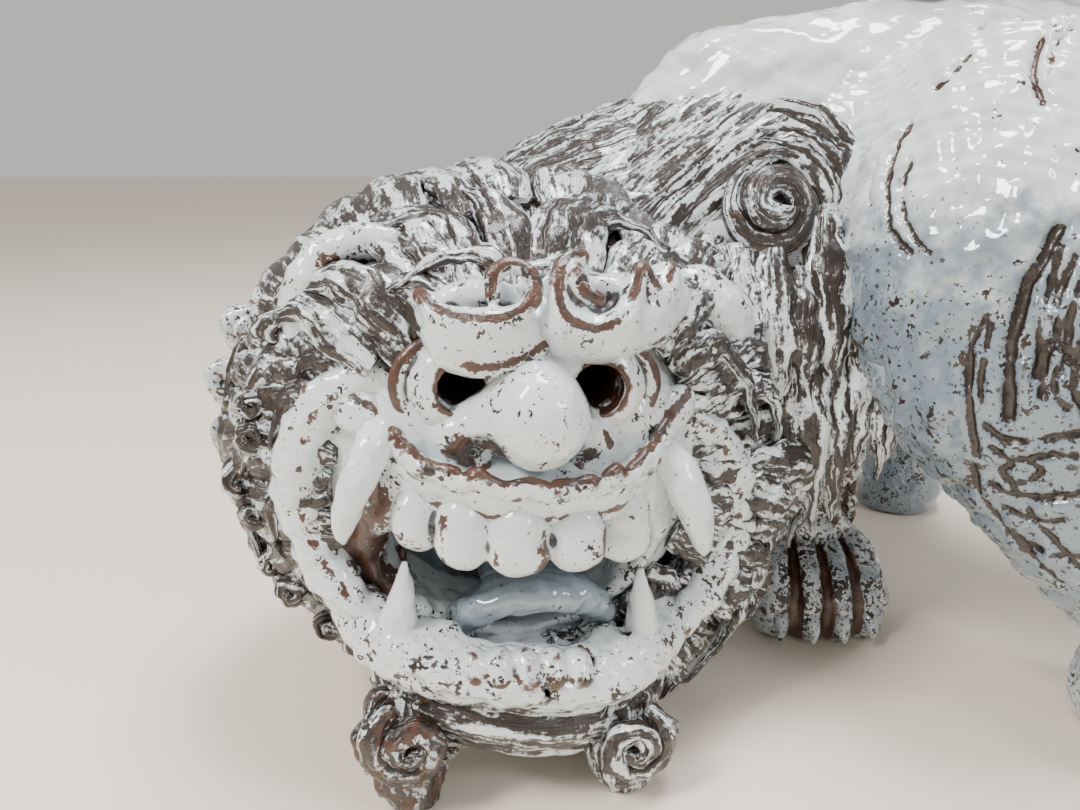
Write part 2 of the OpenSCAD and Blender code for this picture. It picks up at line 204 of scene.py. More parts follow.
# %% Drawing the surface
def net(f, axes):
    """The surface where f is zero: one point in each cell that the surface crosses, at the mean of its
    crossings with the cell's edges, and one four-sided face round each grid edge that it crosses."""
    full = f < 0
    shape = [n - 1 for n in f.shape]
    corners = [(i, j, k) for i in (0, 1) for j in (0, 1) for k in (0, 1)]
    count = sum(full[i:shape[0] + i, j:shape[1] + j, k:shape[2] + k].astype(np.uint8) for i, j, k in corners)
    crossed = (count > 0) & (count < 8)
    index = np.full(shape, -1, np.int64)
    cells = np.argwhere(crossed)
    index[crossed] = np.arange(len(cells))
    total, hits = np.zeros((len(cells), 3)), np.zeros(len(cells))
    for c in corners:
        for axis in range(3):
            if c[axis]:
                continue
            a = cells + c
            b = a.copy()
            b[:, axis] += 1
            fa, fb = f[tuple(a.T)], f[tuple(b.T)]
            cut = (fa < 0) != (fb < 0)
            t = np.where(cut, fa / np.where(cut, fa - fb, 1), 0)
            p = np.array(c, float)[None] + np.zeros((len(cells), 3))
            p[:, axis] += t
            total += p * cut[:, None]
            hits += cut
    local = cells + total / hits[:, None]
    origin, step = np.array([a[0] for a in axes], float), float(axes[0][1] - axes[0][0])
    faces = []
    for axis in range(3):
        lo = [slice(1, -1)] * 3
        hi = [slice(1, -1)] * 3
        lo[axis], hi[axis] = slice(0, -1), slice(1, None)
        a, b = full[tuple(lo)], full[tuple(hi)]
        at = np.argwhere(a != b)
        flip = a[tuple(at.T)]
        at = at + [0 if i == axis else 1 for i in range(3)]
        u, v = [(1, 2), (2, 0), (0, 1)][axis]
        ring = []
        for du, dv in ((1, 1), (0, 1), (0, 0), (1, 0)):
            q = at.copy()
            q[:, u] -= du
            q[:, v] -= dv
            ring.append(index[tuple(q.T)])
        ring = np.stack(ring, 1)
        ring[~flip] = ring[~flip][:, ::-1]
        faces.append(ring)
    return origin + local * step, np.vstack(faces)


def neighbours(faces, count):
    """The pairs of points that share an edge, and how many each point has."""
    pairs = np.vstack([faces[:, [i, (i + 1) % 4]] for i in range(4)])
    pairs = np.unique(np.sort(pairs, 1), axis=0)
    pairs = np.vstack([pairs, pairs[:, ::-1]])
    return pairs, np.maximum(np.bincount(pairs[:, 0], minlength=count), 1)


def mean_of_neighbours(values, pairs, degree):
    values = values.reshape(len(degree), -1)
    out = np.stack([np.bincount(pairs[:, 0], values[pairs[:, 1], i], len(degree)) for i in range(values.shape[1])], 1)
    return out / degree[:, None]


def normals_of(p, faces):
    n = np.cross(p[faces[:, 2]] - p[faces[:, 0]], p[faces[:, 3]] - p[faces[:, 1]])
    out = np.zeros_like(p)
    for i in range(4):
        for axis in range(3):
            out[:, axis] += np.bincount(faces[:, i], n[:, axis], len(p))
    return out / (np.linalg.norm(out, axis=1, keepdims=True) + 1e-12)


def rim_and_hollow(p, faces, smooth=2):
    """How sharply the surface turns at each point, per millimetre: positive on rims, negative in hollows."""
    pairs, degree = neighbours(faces, len(p))
    away = p - mean_of_neighbours(p, pairs, degree)
    edge = np.bincount(pairs[:, 0], np.linalg.norm(p[pairs[:, 0]] - p[pairs[:, 1]], axis=1), len(p)) / degree
    bend = 4 * np.einsum("ij,ij->i", away, normals_of(p, faces)) / (edge ** 2 + 1e-6)
    for _ in range(smooth):
        bend = 0.5 * bend + 0.5 * mean_of_neighbours(bend, pairs, degree)[:, 0]
    return bend


# %% Making a piece
def make_piece(name, p, faces, finish, in_head=False, shift=0.0, bare=None, groove=None, bend=None, strand=None):
    """Puts points in millimetres and faces into a mesh, with what the glaze needs to know at each point. A piece
    that would stand out past the CAD box is moved back into it."""
    p = to_world(p) if in_head else np.asarray(p, float) + shift
    low, high = np.array(CAD_BOX) / MM
    p = p + np.maximum(low + 0.1 - p.min(0), 0) * [1, 1, 0] - np.maximum(p.max(0) + 0.1 - high, 0)
    p[:, 2] = np.maximum(p[:, 2], 0.0)
    mesh = bpy.data.meshes.new(name)
    rows = faces.tolist()
    if (faces[:, 3] == faces[:, 2]).any():
        rows = [f[:3] if f[3] == f[2] else f for f in rows]
    mesh.from_pydata((p * MM).tolist(), [], rows)
    mesh.update()
    mesh.shade_smooth()
    for key, value in (("bare", bare), ("groove", groove), ("bend", bend)):
        value = np.zeros(len(p)) if value is None else value
        mesh.attributes.new(key, "FLOAT", "POINT").data.foreach_set("value", np.asarray(value, np.float32))
    if strand is not None:
        mesh.attributes.new("strand", "FLOAT_VECTOR", "POINT").data.foreach_set("vector", np.asarray(strand, np.float32).ravel())
    piece = bpy.data.objects.new(name, mesh)
    bpy.context.scene.collection.objects.link(piece)
    mesh.materials.append(FINISHES[finish])
    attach(piece, "root")
    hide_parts(name)
    print(f"{name}: {len(rows)} faces, {(p.min(0)).round(1).tolist()} to {(p.max(0)).round(1).tolist()}")
    return piece


def fire(name, clay, finish, in_head=False, lumpy=0.25, relax=2, seed=1, shift=0.0):
    """Turns a block of clay into a piece: draws its surface, relaxes it, and adds the unevenness of hand work."""
    p, faces = net(clay.f, clay.axes)
    pairs, degree = neighbours(faces, len(p))
    for _ in range(relax):
        p = p + 0.5 * (mean_of_neighbours(p, pairs, degree) - p)
        p = p - 0.52 * (mean_of_neighbours(p, pairs, degree) - p)
    n = normals_of(p, faces)
    still = np.clip((p[:, 2] - 1.5) / 4, 0, 1)
    p = p + n * (lumpy * wobble(p, 11, seed) * still)[:, None]
    bare = np.zeros(len(p))
    for path, radius, strength, cut in clay.painted:
        d = np.full(len(p), 1e9)
        for a, b in zip(path[:-1, :3], path[1:, :3]):
            t = np.clip((p - a) @ (b - a) / ((b - a) @ (b - a) + 1e-9), 0, 1)
            d = np.minimum(d, np.linalg.norm(p - a - t[:, None] * (b - a), axis=1))
        bare = np.maximum(bare, strength * np.clip(1.5 - d / radius, 0, 1))
        if cut:
            p = p - n * (cut * np.clip(1 - (d / (1.9 * radius)) ** 2, 0, 1))[:, None]
    # Bend is measured finely and broadly; the broad measure lets the glaze darken whole creases, partly as painted
    # shade.
    bend = 0.45 * rim_and_hollow(p, faces, 4) + 0.75 * rim_and_hollow(p, faces, 14)
    return make_piece(name, p, faces, finish, in_head, shift, bare=bare, bend=bend)


# %% Combed rolls
def comb(points, turns_around=30, along=46, grooves=7, depth=0.8, flat=0.7, face=(0, -1, 0), twist=0.0, seed=0,
         ragged=0.6, tip=0.0):
    """A roll whose profile is an ellipse with combed grooves, carried along a path of (x, y, z, radius).
    At angle w round the profile the radius shrinks by depth times |sin(grooves * w / 2 + twist * s)|
    to the fourth power taken from one, so ridges are broad and grooves narrow."""
    along = max(int(along / FINE), 12)
    turns_around = max(int(turns_around / FINE), 16)
    path = smooth_path(points, along)
    c, r = path[:, :3], np.maximum(path[:, 3], 0.05)
    t = np.gradient(c, axis=0)
    t /= np.linalg.norm(t, axis=1, keepdims=True) + 1e-9
    face = np.broadcast_to(np.asarray(face, float), c.shape)
    side = np.cross(t, face)
    side /= np.linalg.norm(side, axis=1, keepdims=True) + 1e-9
    out = np.cross(side, t)
    w = np.linspace(0, 2 * math.pi, turns_around, endpoint=False)[None]
    s = np.linspace(0, 1, along)[:, None]
    rng = np.random.default_rng(seed + 100)
    drift = sum(rng.normal() * np.sin(s * (2 + 3 * k) + rng.random() * 6) * 0.35 * ragged for k in range(3))
    wave = np.abs(np.sin(grooves * w / 2 + twist * s * math.pi + drift))
    groove = 1 - wave ** 0.55
    fade = np.clip(s * 6, 0, 1) * np.clip((1 - s) * 5, 0, 1)
    reach = r[:, None] * (1 + 0.05 * ragged * np.sin(s * 23 + seed + 2 * w)) - depth * groove * (0.25 + 0.75 * fade)
    reach = np.maximum(reach, 0.12 * r[:, None])
    p = c[:, None] + reach[..., None] * (np.cos(w)[..., None] * side[:, None] + flat * np.sin(w)[..., None] * out[:, None])
    length = np.linalg.norm(np.diff(c, axis=0), axis=1).sum()
    around = np.mean(r) + 0 * reach
    strand = np.stack([around * np.cos(w) + 17.0 * seed, around * np.sin(w), s * length * 0.15 + 0 * w], -1)
    return p.reshape(-1, 3), groove * (0.3 + 0.7 * fade), along, turns_around, strand.reshape(-1, 3)


def grid_faces(along, around, first=0):
    """Four-sided faces between neighbouring rings, with the two ends closed on a point each."""
    i = np.arange(along - 1)[:, None] * around
    k = np.arange(around)[None]
    n = (k + 1) % around
    quads = np.stack([i + k, i + n, i + around + n, i + around + k], -1).reshape(-1, 4)
    return quads + first


def join_rolls(rolls):
    """Several combed rolls as one mesh, with both ends of each closed on an extra point."""
    points, faces, groove, strand, base = [], [], [], [], 0
    for p, g, along, around, hair in rolls:
        ends = np.array([p[:around].mean(0), p[-around:].mean(0)])
        points += [p, ends]
        groove += [g.reshape(-1), [0.2, 0.2]]
        strand += [hair, hair[[0, -1]]]
        faces.append(grid_faces(along, around, base))
        k = np.arange(around)
        n = (k + 1) % around
        start = np.full(around, base + len(p))
        last = (along - 1) * around
        faces.append(np.stack([base + n, base + k, start, start], 1))
        faces.append(np.stack([base + last + k, base + last + n, start + 1, start + 1], 1))
        base += len(p) + 2
    return np.vstack(points), np.vstack(faces), np.concatenate(groove), np.vstack(strand)


def comb_piece(name, rolls, finish, in_head=False, lumpy=0.35, seed=3, bare=0.0, shift=0.0):
    p, faces, groove, strand = join_rolls(rolls)
    p = p + lumpy * np.stack([wobble(p, 9, seed + k) for k in range(3)], 1)
    return make_piece(name, p, faces, finish, in_head, shift, bare=np.full(len(p), bare), groove=groove, strand=strand)


# %% [markdown]
# ## The glaze
# One glaze covers the whole figure, so there is one recipe. It is white and glassy where it lies thick,
# blue-grey where it is thinner, and it breaks to reddish brown on rims and to dark brown in combed grooves.
# Hollows, deep holes and the lower parts are also painted darker: partly the glaze's own colour, partly painted shade.
# Small spots where it drew back from the clay are scattered over it, each with a raised ring.
# Shader maths is written as expressions on a socket.

# %% Shader expressions
class Val:
    """Wraps a socket, so that arithmetic on it adds Math nodes."""

    def __init__(self, tree, socket):
        self.tree, self.socket = tree, socket

    def _math(self, kind, *others):
        node = self.tree.nodes.new("ShaderNodeMath")
        node.operation = kind
        for slot, item in zip(node.inputs, (self, *others)):
            put(self.tree, slot, item)
        return Val(self.tree, node.outputs[0])

    def __add__(self, o): return self._math("ADD", o)
    def __radd__(self, o): return self._math("ADD", o)
    def __mul__(self, o): return self._math("MULTIPLY", o)
    def __rmul__(self, o): return self._math("MULTIPLY", o)
    def __sub__(self, o): return self._math("SUBTRACT", o)
    def __rsub__(self, o): return Val.constant(self.tree, o)._math("SUBTRACT", self)
    def __pow__(self, o): return self._math("POWER", o)
    def __gt__(self, o): return self._math("GREATER_THAN", o)
    def __lt__(self, o): return self._math("LESS_THAN", o)
    def most(self, o): return self._math("MAXIMUM", o)
    def least(self, o): return self._math("MINIMUM", o)
    def clamp(self): return self.most(0.0).least(1.0)

    @staticmethod
    def constant(tree, value):
        node = tree.nodes.new("ShaderNodeMath")
        node.operation = "ADD"
        node.inputs[0].default_value, node.inputs[1].default_value = value, 0.0
        return Val(tree, node.outputs[0])

    def ramp(self, lo, hi):
        """0 below lo, 1 above hi, and a smooth step between."""
        return make(self.tree, "ShaderNodeMapRange", {"interpolation_type": "SMOOTHSTEP"},
                    {0: self, 1: lo, 2: hi})


def put(tree, slot, item):
    if isinstance(item, Val):
        tree.links.new(item.socket, slot)
    else:
        slot.default_value = item


def make(tree, kind, settings, sockets, output=0):
    """Makes any node: its type, its settings, then the values or links of its sockets."""
    node = tree.nodes.new(kind)
    for key, value in settings.items():
        setattr(node, key, value)
    for key, item in sockets.items():
        put(tree, node.inputs[key], item)
    return Val(tree, node.outputs[output])


def blend_colour(tree, amount, a, b):
    return make(tree, "ShaderNodeMix", {"data_type": "RGBA"}, {0: amount, 6: a, 7: b}, 2)


# %% The glaze recipe
WHITE = (0.735, 0.785, 0.81, 1)
GREY = (0.21, 0.27, 0.33, 1)
REDDISH = (0.088, 0.034, 0.018, 1)
DARK = (0.026, 0.016, 0.012, 1)


def glaze(name, thin=0.0, broken=0.0, hair=0.0, white=WHITE, grey=GREY, spots=0.5, shade_and_thin_below=None, lumps=0.8):
    """`thin` moves the glaze towards blue-grey, `broken` towards bare clay, `hair` is the depth of the fine
    strands, `spots` is how many pinholes there are. The pair (height, drop) turns the glaze greyer and browner
    below that height in metres, over that drop: partly thinner glaze, partly painted shade towards the floor."""
    material = bpy.data.materials.new(name)
    material.use_nodes = True
    tree = material.node_tree
    tree.nodes.clear()
    place = make(tree, "ShaderNodeTexCoord", {}, {}, 3)

    def noise(size_mm, detail=2.0, rough=0.5, at=place, unit=1000.0):
        return make(tree, "ShaderNodeTexNoise", {}, {"Vector": at, "Scale": unit / size_mm, "Detail": detail, "Roughness": rough})

    def mark(key, output=2):
        return make(tree, "ShaderNodeAttribute", {"attribute_name": key}, {}, output)

    fine, middle, broad, wide = noise(1.5, 3.0, 0.6), noise(4.5, 3.0), noise(14.0, 3.0), noise(45.0, 2.0)
    bend = mark("bend")
    low = 0.0
    # Below the given height the glaze is painted greyer and its clay browner and darker: partly the thinner glaze low
    # on the figure, partly painted shade on the undersides.
    if shade_and_thin_below:
        height = make(tree, "ShaderNodeSeparateXYZ", {}, {0: place}, 2)
        low = (height * -1.0 + (broad - 0.5) * 0.02 + shade_and_thin_below[0]).ramp(0.0, shade_and_thin_below[1])
        broken = low * 0.40 * low + broken
        thin = low * 1.3 + thin
    rim = (bend + (fine - 0.5) * 0.50 + (middle - 0.5) * 0.60).ramp(0.46, 0.66)
    # Hollows are painted browner and greyer: partly the brown lines the glaze shows between features, partly painted
    # shade in creases.
    hollow = (bend * -1.0 + (middle - 0.5) * 0.5 + (fine - 0.5) * 0.4).ramp(0.26, 0.55)
    wiped = (mark("bare") + (fine - 0.5) * 1.3 + (middle - 0.5) * 1.6 + broken).ramp(0.58, 0.72)
    patchy = ((0.37 - middle) * 2.0 + (0.48 - fine) * 2.4 + (0.5 - broad) * 1.3 + bend.most(bend * -1.0) * 0.7 + broken).ramp(0.34, 0.46)
    clay = rim.most(wiped).most(hollow * 0.85).most(patchy)
    relief = 0.0
    if hair:
        strand = mark("strand", 1)
        bent = make(tree, "ShaderNodeTexNoise", {}, {"Vector": strand, "Scale": 0.16, "Detail": 1.0}, 1)
        strand = make(tree, "ShaderNodeVectorMath", {"operation": "MULTIPLY_ADD"}, {0: bent, 1: (5.0, 5.0, 0.0), 2: strand})
        thread, thick = noise(1.6, 2.0, 0.6, strand, 1.0), noise(4.8, 1.5, 0.5, strand, 1.0)
        gap = ((0.5 - thread) * 3.2 + (0.5 - thick) * 2.2 + mark("groove") * 0.7 + (fine - 0.5) * 1.7 + (middle - 0.5) * 1.2 + broken + 0.05).ramp(0.0, 0.45)
        clay = clay.most(gap)
        relief = (thread * 1.5 + thick * 1.3) * hair - gap * 0.25
    cells = make(tree, "ShaderNodeTexVoronoi", {}, {"Vector": place, "Scale": 1000.0 / 2.3, "Randomness": 1.0})
    pick = make(tree, "ShaderNodeSeparateColor", {}, {0: Val(tree, cells.socket.node.outputs[1])})
    size = ((pick - 0.95 + spots * 0.3 + (broad - 0.5) * 1.1 + low * 0.42).clamp() * 0.55).least(0.24 + 0.2 * pick)
    spot = (size - cells).ramp(0.0, 0.07)
    ring = (size + 0.14 - cells).ramp(0.0, 0.10) - spot
    clay = clay.most(spot * 0.85).clamp()
    greyness = ((broad - 0.5) * 1.3 + (middle - 0.5) * 0.9 + (wide - 0.5) * 1.2 + thin - 0.22).ramp(0.0, 0.9)
    # Hollows also turn the glaze blue-grey: partly its own colour there, partly painted shade.
    greyness = greyness.most(hollow * 0.7).most((ring * 0.35).clamp())
    glass = blend_colour(tree, greyness, white, grey)
    # Lower down the bare clay is also painted a darker brown, as painted shade.
    warm = (rim.most(wiped * 0.75) + (middle - 0.5) * 1.3 - low * 0.7).ramp(0.35, 1.05)
    earth = blend_colour(tree, warm, DARK, REDDISH)
    colour = blend_colour(tree, clay, glass, earth)
    rough = clay * 0.24 + 0.06 + (fine - 0.5) * 0.05
    height = relief + middle * 0.28 * (lumps + 0.2) + broad * lumps + fine * clay * 0.35 + ring * 0.16 - spot * 0.25 - clay * 0.20 - mark("bare") * 0.35
    bump = make(tree, "ShaderNodeBump", {}, {"Strength": 1.0, "Distance": 0.0009, "Height": height})
    shader = tree.nodes.new("ShaderNodeBsdfPrincipled")
    put(tree, shader.inputs["Base Color"], colour)
    put(tree, shader.inputs["Roughness"], rough)
    put(tree, shader.inputs["Normal"], bump)
    put(tree, shader.inputs["Coat Weight"], 1.0 - clay * 0.70)
    shader.inputs["Coat Roughness"].default_value = 0.03
    shader.inputs["IOR"].default_value = 1.55
    end = tree.nodes.new("ShaderNodeOutputMaterial")
    tree.links.new(shader.outputs[0], end.inputs[0])
    return material


FINISHES = {
    "white": glaze("white_glaze", thin=-0.02, broken=0.12, spots=0.7),
    "jaw": glaze("jaw_glaze", thin=0.10, broken=0.22, spots=0.7),
    # The body and haunch glazes turn darker below a height: painted shade under the belly and haunches, and on the
    # haunches also their greyer, thinner glaze.
    "body": glaze("body_glaze", thin=-0.14, broken=-0.25, spots=0.1, shade_and_thin_below=(0.150, 0.05), lumps=0.3),
    "haunch": glaze("haunch_glaze", thin=-0.06, broken=-0.14, spots=0.3, shade_and_thin_below=(0.205, 0.065), lumps=0.35),
    "mane": glaze("mane_glaze", thin=0.20, broken=0.12, hair=1.0),
    "dark": glaze("dark_glaze", thin=0.45, broken=0.30, hair=1.0),
    "leg": glaze("leg_glaze", thin=0.5, broken=0.42),
    "teeth": glaze("tooth_glaze", thin=-0.2, broken=-0.04, spots=0.5),
    "mouth": glaze("mouth_glaze", thin=0.7, broken=-0.1, white=(0.34, 0.41, 0.46, 1)),
}
print("finishes:", ", ".join(FINISHES))

# %% [markdown]
# ## The head
# The face is the part that everybody looks at first. It is a thick round skull with the features pressed on:
# brows, eye rims, nose, lip, cheek folds and jaw. The skull carries soft fillets where they were luted.

# %% Skull with its mouth
def fill_skull():
    clay = Clay((-84, -84, 20), (84, 76, 172), 1.4)
    clay.lump((0, 0, 97), (70.5, 70.5, 70.5), 1)
    clay.lump((2, -86, 112), (58, 26, 34), 12, carve=True)
    clay.lump((0, -44, 136), (30, 15, 18), 12)
    clay.roll([(1, -52, 112, 8), (1, -55, 128, 9), (1, -54, 142, 9)], 10)
    clay.lump((-29, -48, 120), (10, 10, 10), 10).lump((32, -48, 115), (10, 10, 10), 10)
    clay.roll([(-48, -43, 124, 6), (-62, -38, 100, 7), (-58, -40, 74, 6)], 8)
    clay.roll([(52, -43, 108, 6), (70, -34, 82, 7), (66, -38, 62, 6)], 8)
    clay.lump((-3, -62, 76), (43, 34, 22), 5, carve=True)
    clay.lump((-2, -38, 76), (36, 40, 26), 6, carve=True)
    for x, z in ((-17.6, 130.6), (19.5, 128.2)):
        clay.roll([(x, -78, z, 6.6), (x, -30, z, 6.6)], 1.2, carve=True)
    clay.lump((0, 8, 97), (56, 52, 56), 2, carve=True)
    clay.paint([(-40, -52, 98), (-47, -48, 80), (-40, -50, 60)], 9, 0.9)
    clay.paint([(-30, -56, 112), (-14, -60, 106), (8, -61, 104), (30, -58, 106)], 3.0, 0.62)
    # Behind the eye holes the inside of the skull is painted dark: painted shade seen through the holes.
    for x, z in ((-17.6, 130.6), (19.5, 128.2)):
        clay.paint([(x, -50, z), (x, -26, z)], 10.0, 1.2)
    return clay


fire("skull", fill_skull(), "white", in_head=True, lumpy=0.6)

# %% Lining of the mouth
lining = Clay((-46, -56, 34), (46, 14, 126), 1.6)
lining.lump((0, -22, 80), (41, 30, 42), 1)
lining.lump((0, -26, 80), (37.5, 28, 38.5), 1, carve=True).lump((0, -52, 80), (44, 26, 44), 1, carve=True)
fire("mouth_lining", lining, "mouth", in_head=True, lumpy=0.8)

# %% [markdown]
# The nose is a bulb with two wings. The nostrils were pricked upwards with a stick, and the glaze ran off
# round their edges.

# %% Nose
nose = Clay((-36, -88, 96), (38, -40, 150), 0.8)
nose.lump((2.0, -68, 122.5), (13.4, 13, 14.0), 2)
nose.roll([(1, -54, 142, 4), (0.8, -60, 135, 6.5), (1, -65, 128, 9)], 6)
nose.roll([(-6, -62, 124, 6.5), (-13, -62, 120.5, 7.4), (-19, -61, 117, 7.4)], 7)
nose.roll([(9, -61, 121, 6), (15, -61, 116.5, 7.0), (19, -60, 113, 6.6)], 6)
nose.roll([(-24.5, -58, 124, 3.2), (-26.4, -58, 117, 3.2), (-22, -60, 111.5, 3.0), (-13, -64, 109.5, 2.6)], 3)
nose.roll([(23, -58, 119, 3.0), (25.4, -57, 112.5, 3.0), (21, -60, 107.5, 2.8), (13, -64, 106, 2.4)], 3)
nose.lump((-14.5, -71.5, 114.2), (5.8, 6.0, 4.7), 2, carve=True).lump((12.6, -72, 109.8), (4.2, 5.5, 3.8), 2, carve=True)
nose.paint([(-19, -68, 115), (-15, -69, 113), (-10, -70, 113)], 4.6, 1.0)
nose.paint([(9, -70, 109), (12.6, -69, 108), (16, -68, 110)], 4.0, 1.0)
nose.paint([(20.5, -67.5, 118), (22.5, -65.5, 113)], 1.5, 0.85)
fire("nose", nose, "white", in_head=True, lumpy=0.25)

# %% Eye rims: a ball with a hole through it, and a lid folded round its outer side
def eye_rim(name, x, z, out, seed):
    eye = Clay((x - 24, -78, z - 20), (x + 24, -40, z + 20), 0.75)
    eye.lump((x + out * 2.2, -55.0, z - 0.6), (12.4, 9.6, 12.4), 1)
    eye.lump((x + out * 4.5, -60.5, z - 1), (7.8, 4.6, 10.2), 4)
    turn = np.linspace(-1.25, 1.35, 9)
    lid = np.stack([x + out * (3.6 + 13.2 * np.cos(turn)), -55.5 - 1.5 * np.cos(turn), z - 0.8 + 12.6 * np.sin(turn),
                    1.5 + 0.8 * np.cos(turn)], 1)
    eye.roll(lid, 1.0, count=24)
    eye.roll([(x, -80, z, 6.7), (x, -38, z, 6.7)], 0.9, carve=True)
    turn = np.linspace(0, 2 * math.pi, 17)
    eye.paint(np.stack([x + 7.0 * np.cos(turn), -62.6 + 0.6 * np.cos(turn), z + 7.0 * np.sin(turn)], 1), 1.7, 1.0)
    eye.paint(lid[:, :3] + [out * 0.8, -1.2, 0], 1.5, 0.95)
    # The inside of the hole is painted dark as bare clay: painted shade of a deep hole.
    eye.paint([(x, -56, z), (x, -42, z)], 8.4, 1.1)
    return fire(name, eye, "white", in_head=True, lumpy=0.2, seed=seed)


eye_rim("eye_right", -17.6, 130.6, -1, 15)
eye_rim("eye_left", 19.5, 128.2, 1, 16)

# %% [markdown]
# Each brow is a coil of clay rolled over on itself, so it has a hollow on top with a thin rim, and the rim
# is where the glaze ran off.

# %% Brows
def ring_of(centre_at, wide, tall, deep, tube, start=0.0, end=2 * math.pi, count=17):
    """Points round an oval that leans back as it rises, with a radius for each."""
    turn = np.linspace(start, end, count)
    x = centre_at[0] + wide * np.cos(turn)
    z = centre_at[2] + tall * np.sin(turn)
    y = centre_at[1] + deep * np.sin(turn)
    return np.stack([x, y, z, np.full(count, tube)], 1)


def rim_roll(clay, path, r=1.9, bare=1.25, strength=1.0):
    """A thin pinched edge, worn bare along its crest."""
    path = np.array(path, float)
    clay.roll(np.concatenate([path + [0, 1.2, -0.6], np.full((len(path), 1), r)], 1), 5.0, count=34)
    return clay.paint(path + [0, -0.6, 0.8], bare, strength)


brow = Clay((-36, -84, 128), (12, -44, 172), 0.75)
brow.lump((-11.5, -59.5, 144), (16.2, 11.0, 10.2), 2)
brow.lump((-12.5, -61.5, 157), (12.8, 6.2, 8.0), 2, carve=True)
brow.lump((-12, -56, 153), (11, 5, 5), 3)
rim_roll(brow, [(-27, -58, 155), (-22, -66, 150.5), (-10, -70, 149), (-1.5, -69, 152.5), (1.6, -66, 158), (-2.5, -62.5, 162.5),
                (-8.5, -63, 160.5), (-9.5, -65, 156)], 2.1)
rim_roll(brow, [(-22, -64, 138.5), (-12, -68.5, 136.6), (0, -67.5, 139.4), (5, -64, 142)], 1.5, 1.3, 0.8)
brow.paint([(-18, -64, 151), (-10, -66, 150), (-4, -64, 152)], 2.6, 0.72)
fire("brow_right", brow, "white", in_head=True, lumpy=0.3, seed=5)

brow = Clay((2, -84, 126), (54, -38, 172), 0.75)
brow.roll([(10, -61, 145, 8.2), (20, -61, 144, 9.2), (32, -56, 146.5, 9.2), (41, -49, 149, 7.8)], 3)
brow.roll([(13, -58, 152, 6), (26, -55, 152, 6.4), (38, -49, 153, 5.5)], 4)
brow.lump((20.5, -66, 153.5), (5.8, 6, 5.4), 2, carve=True).lump((35, -60, 155.5), (3.6, 5, 3.6), 2, carve=True)
rim_roll(brow, [(15, -58, 163.5), (9.5, -62, 162), (6.8, -67, 155.5), (9, -70.5, 148.5), (16.5, -71, 145.8), (24, -69.5, 148.8)], 2.3)
rim_roll(brow, [(24, -68, 149), (27.5, -66, 155), (30.5, -62.5, 160.5), (33.5, -62, 155.5), (37.5, -59, 152.5), (42, -53, 159)], 2.2)
brow.roll([(12, -62, 160.5, 2.6), (13.5, -65.5, 156, 2.4), (18, -66, 153, 1.8)], 1.5).paint([(12, -64.5, 159), (15, -68, 154), (19, -68, 152)], 1.9, 0.9)
brow.paint([(12, -70, 139.5), (22, -70, 138.5), (34, -64, 140), (42, -55, 143)], 1.3, 0.7)
fire("brow_left", brow, "white", in_head=True, lumpy=0.3, seed=6)

# %% [markdown]
# The muzzle carries the lip. The lip is a thin ridge pinched up from the clay, wavy along its length, so it
# has the sharpest edge on the whole face and shows the most bare clay.

# %% Muzzle and lip
lip_line = np.array([(-49, -44, 124, 4.0), (-42, -52, 119.5, 4.4), (-34.5, -60, 114.0, 3.6), (-28, -67, 110.0, 3.2),
                     (-15, -73.2, 107.4, 3.0), (0.5, -75.4, 105.2, 3.0), (17, -73.4, 104.6, 3.0),
                     (30.5, -66, 106.4, 3.2), (39, -58, 111.5, 3.8), (45, -51, 116.5, 4.2), (50, -45, 119, 3.8)])
muzzle = Clay((-52, -80, 84), (54, -40, 124), 0.9)
muzzle.roll([(-38, -49, 104, 8.2), (-17, -60.5, 101, 9.4), (1, -63.5, 99, 9.8), (19, -60.5, 98, 9.4), (38, -49, 100, 8.2)], 2)
muzzle.roll(lip_line + [0, 3.0, -2.5, 0.8], 3)
muzzle.paint([(-30, -63, 101), (-16, -71, 98), (1, -73.5, 96), (18, -71, 95), (32, -62, 96)], 1.3, 0.75)
fire("muzzle", muzzle, "white", in_head=True, lumpy=0.5, seed=7)

lip = Clay((-58, -84, 96), (60, -34, 134), 0.75)
dense = smooth_path(lip_line, 44)
dense[:, 2] += 0.9 * np.sin(np.arange(44) * 1.9) + 0.6 * np.sin(np.arange(44) * 3.1)
dense[:, 3] += 0.40 * np.sin(np.arange(44) * 2.6)
lip.roll(dense, 1.2, count=70, flat=((0.0, 0.75, 0.66), 0.72))
lip.roll(dense[8:36, :] + [0, -0.6, 2.2, -1.6], 1.2, count=60)
lip.lump((-44, -50, 122), (7.5, 6.5, 6.5), 4).lump((45, -50, 118.5), (7, 6.5, 6), 4)
lip.paint(dense[9:36:2, :3] + [0, -1.6, 3.4], 1.7, 1.0)
lip.paint([(-46, -54, 127), (-40, -57, 124), (-36, -60, 119)], 1.5, 0.8).paint([(40, -59, 117), (46, -55, 121), (50, -50, 123)], 1.6, 0.9)
fire("upper_lip", lip, "white", in_head=True, lumpy=0.4, seed=8)

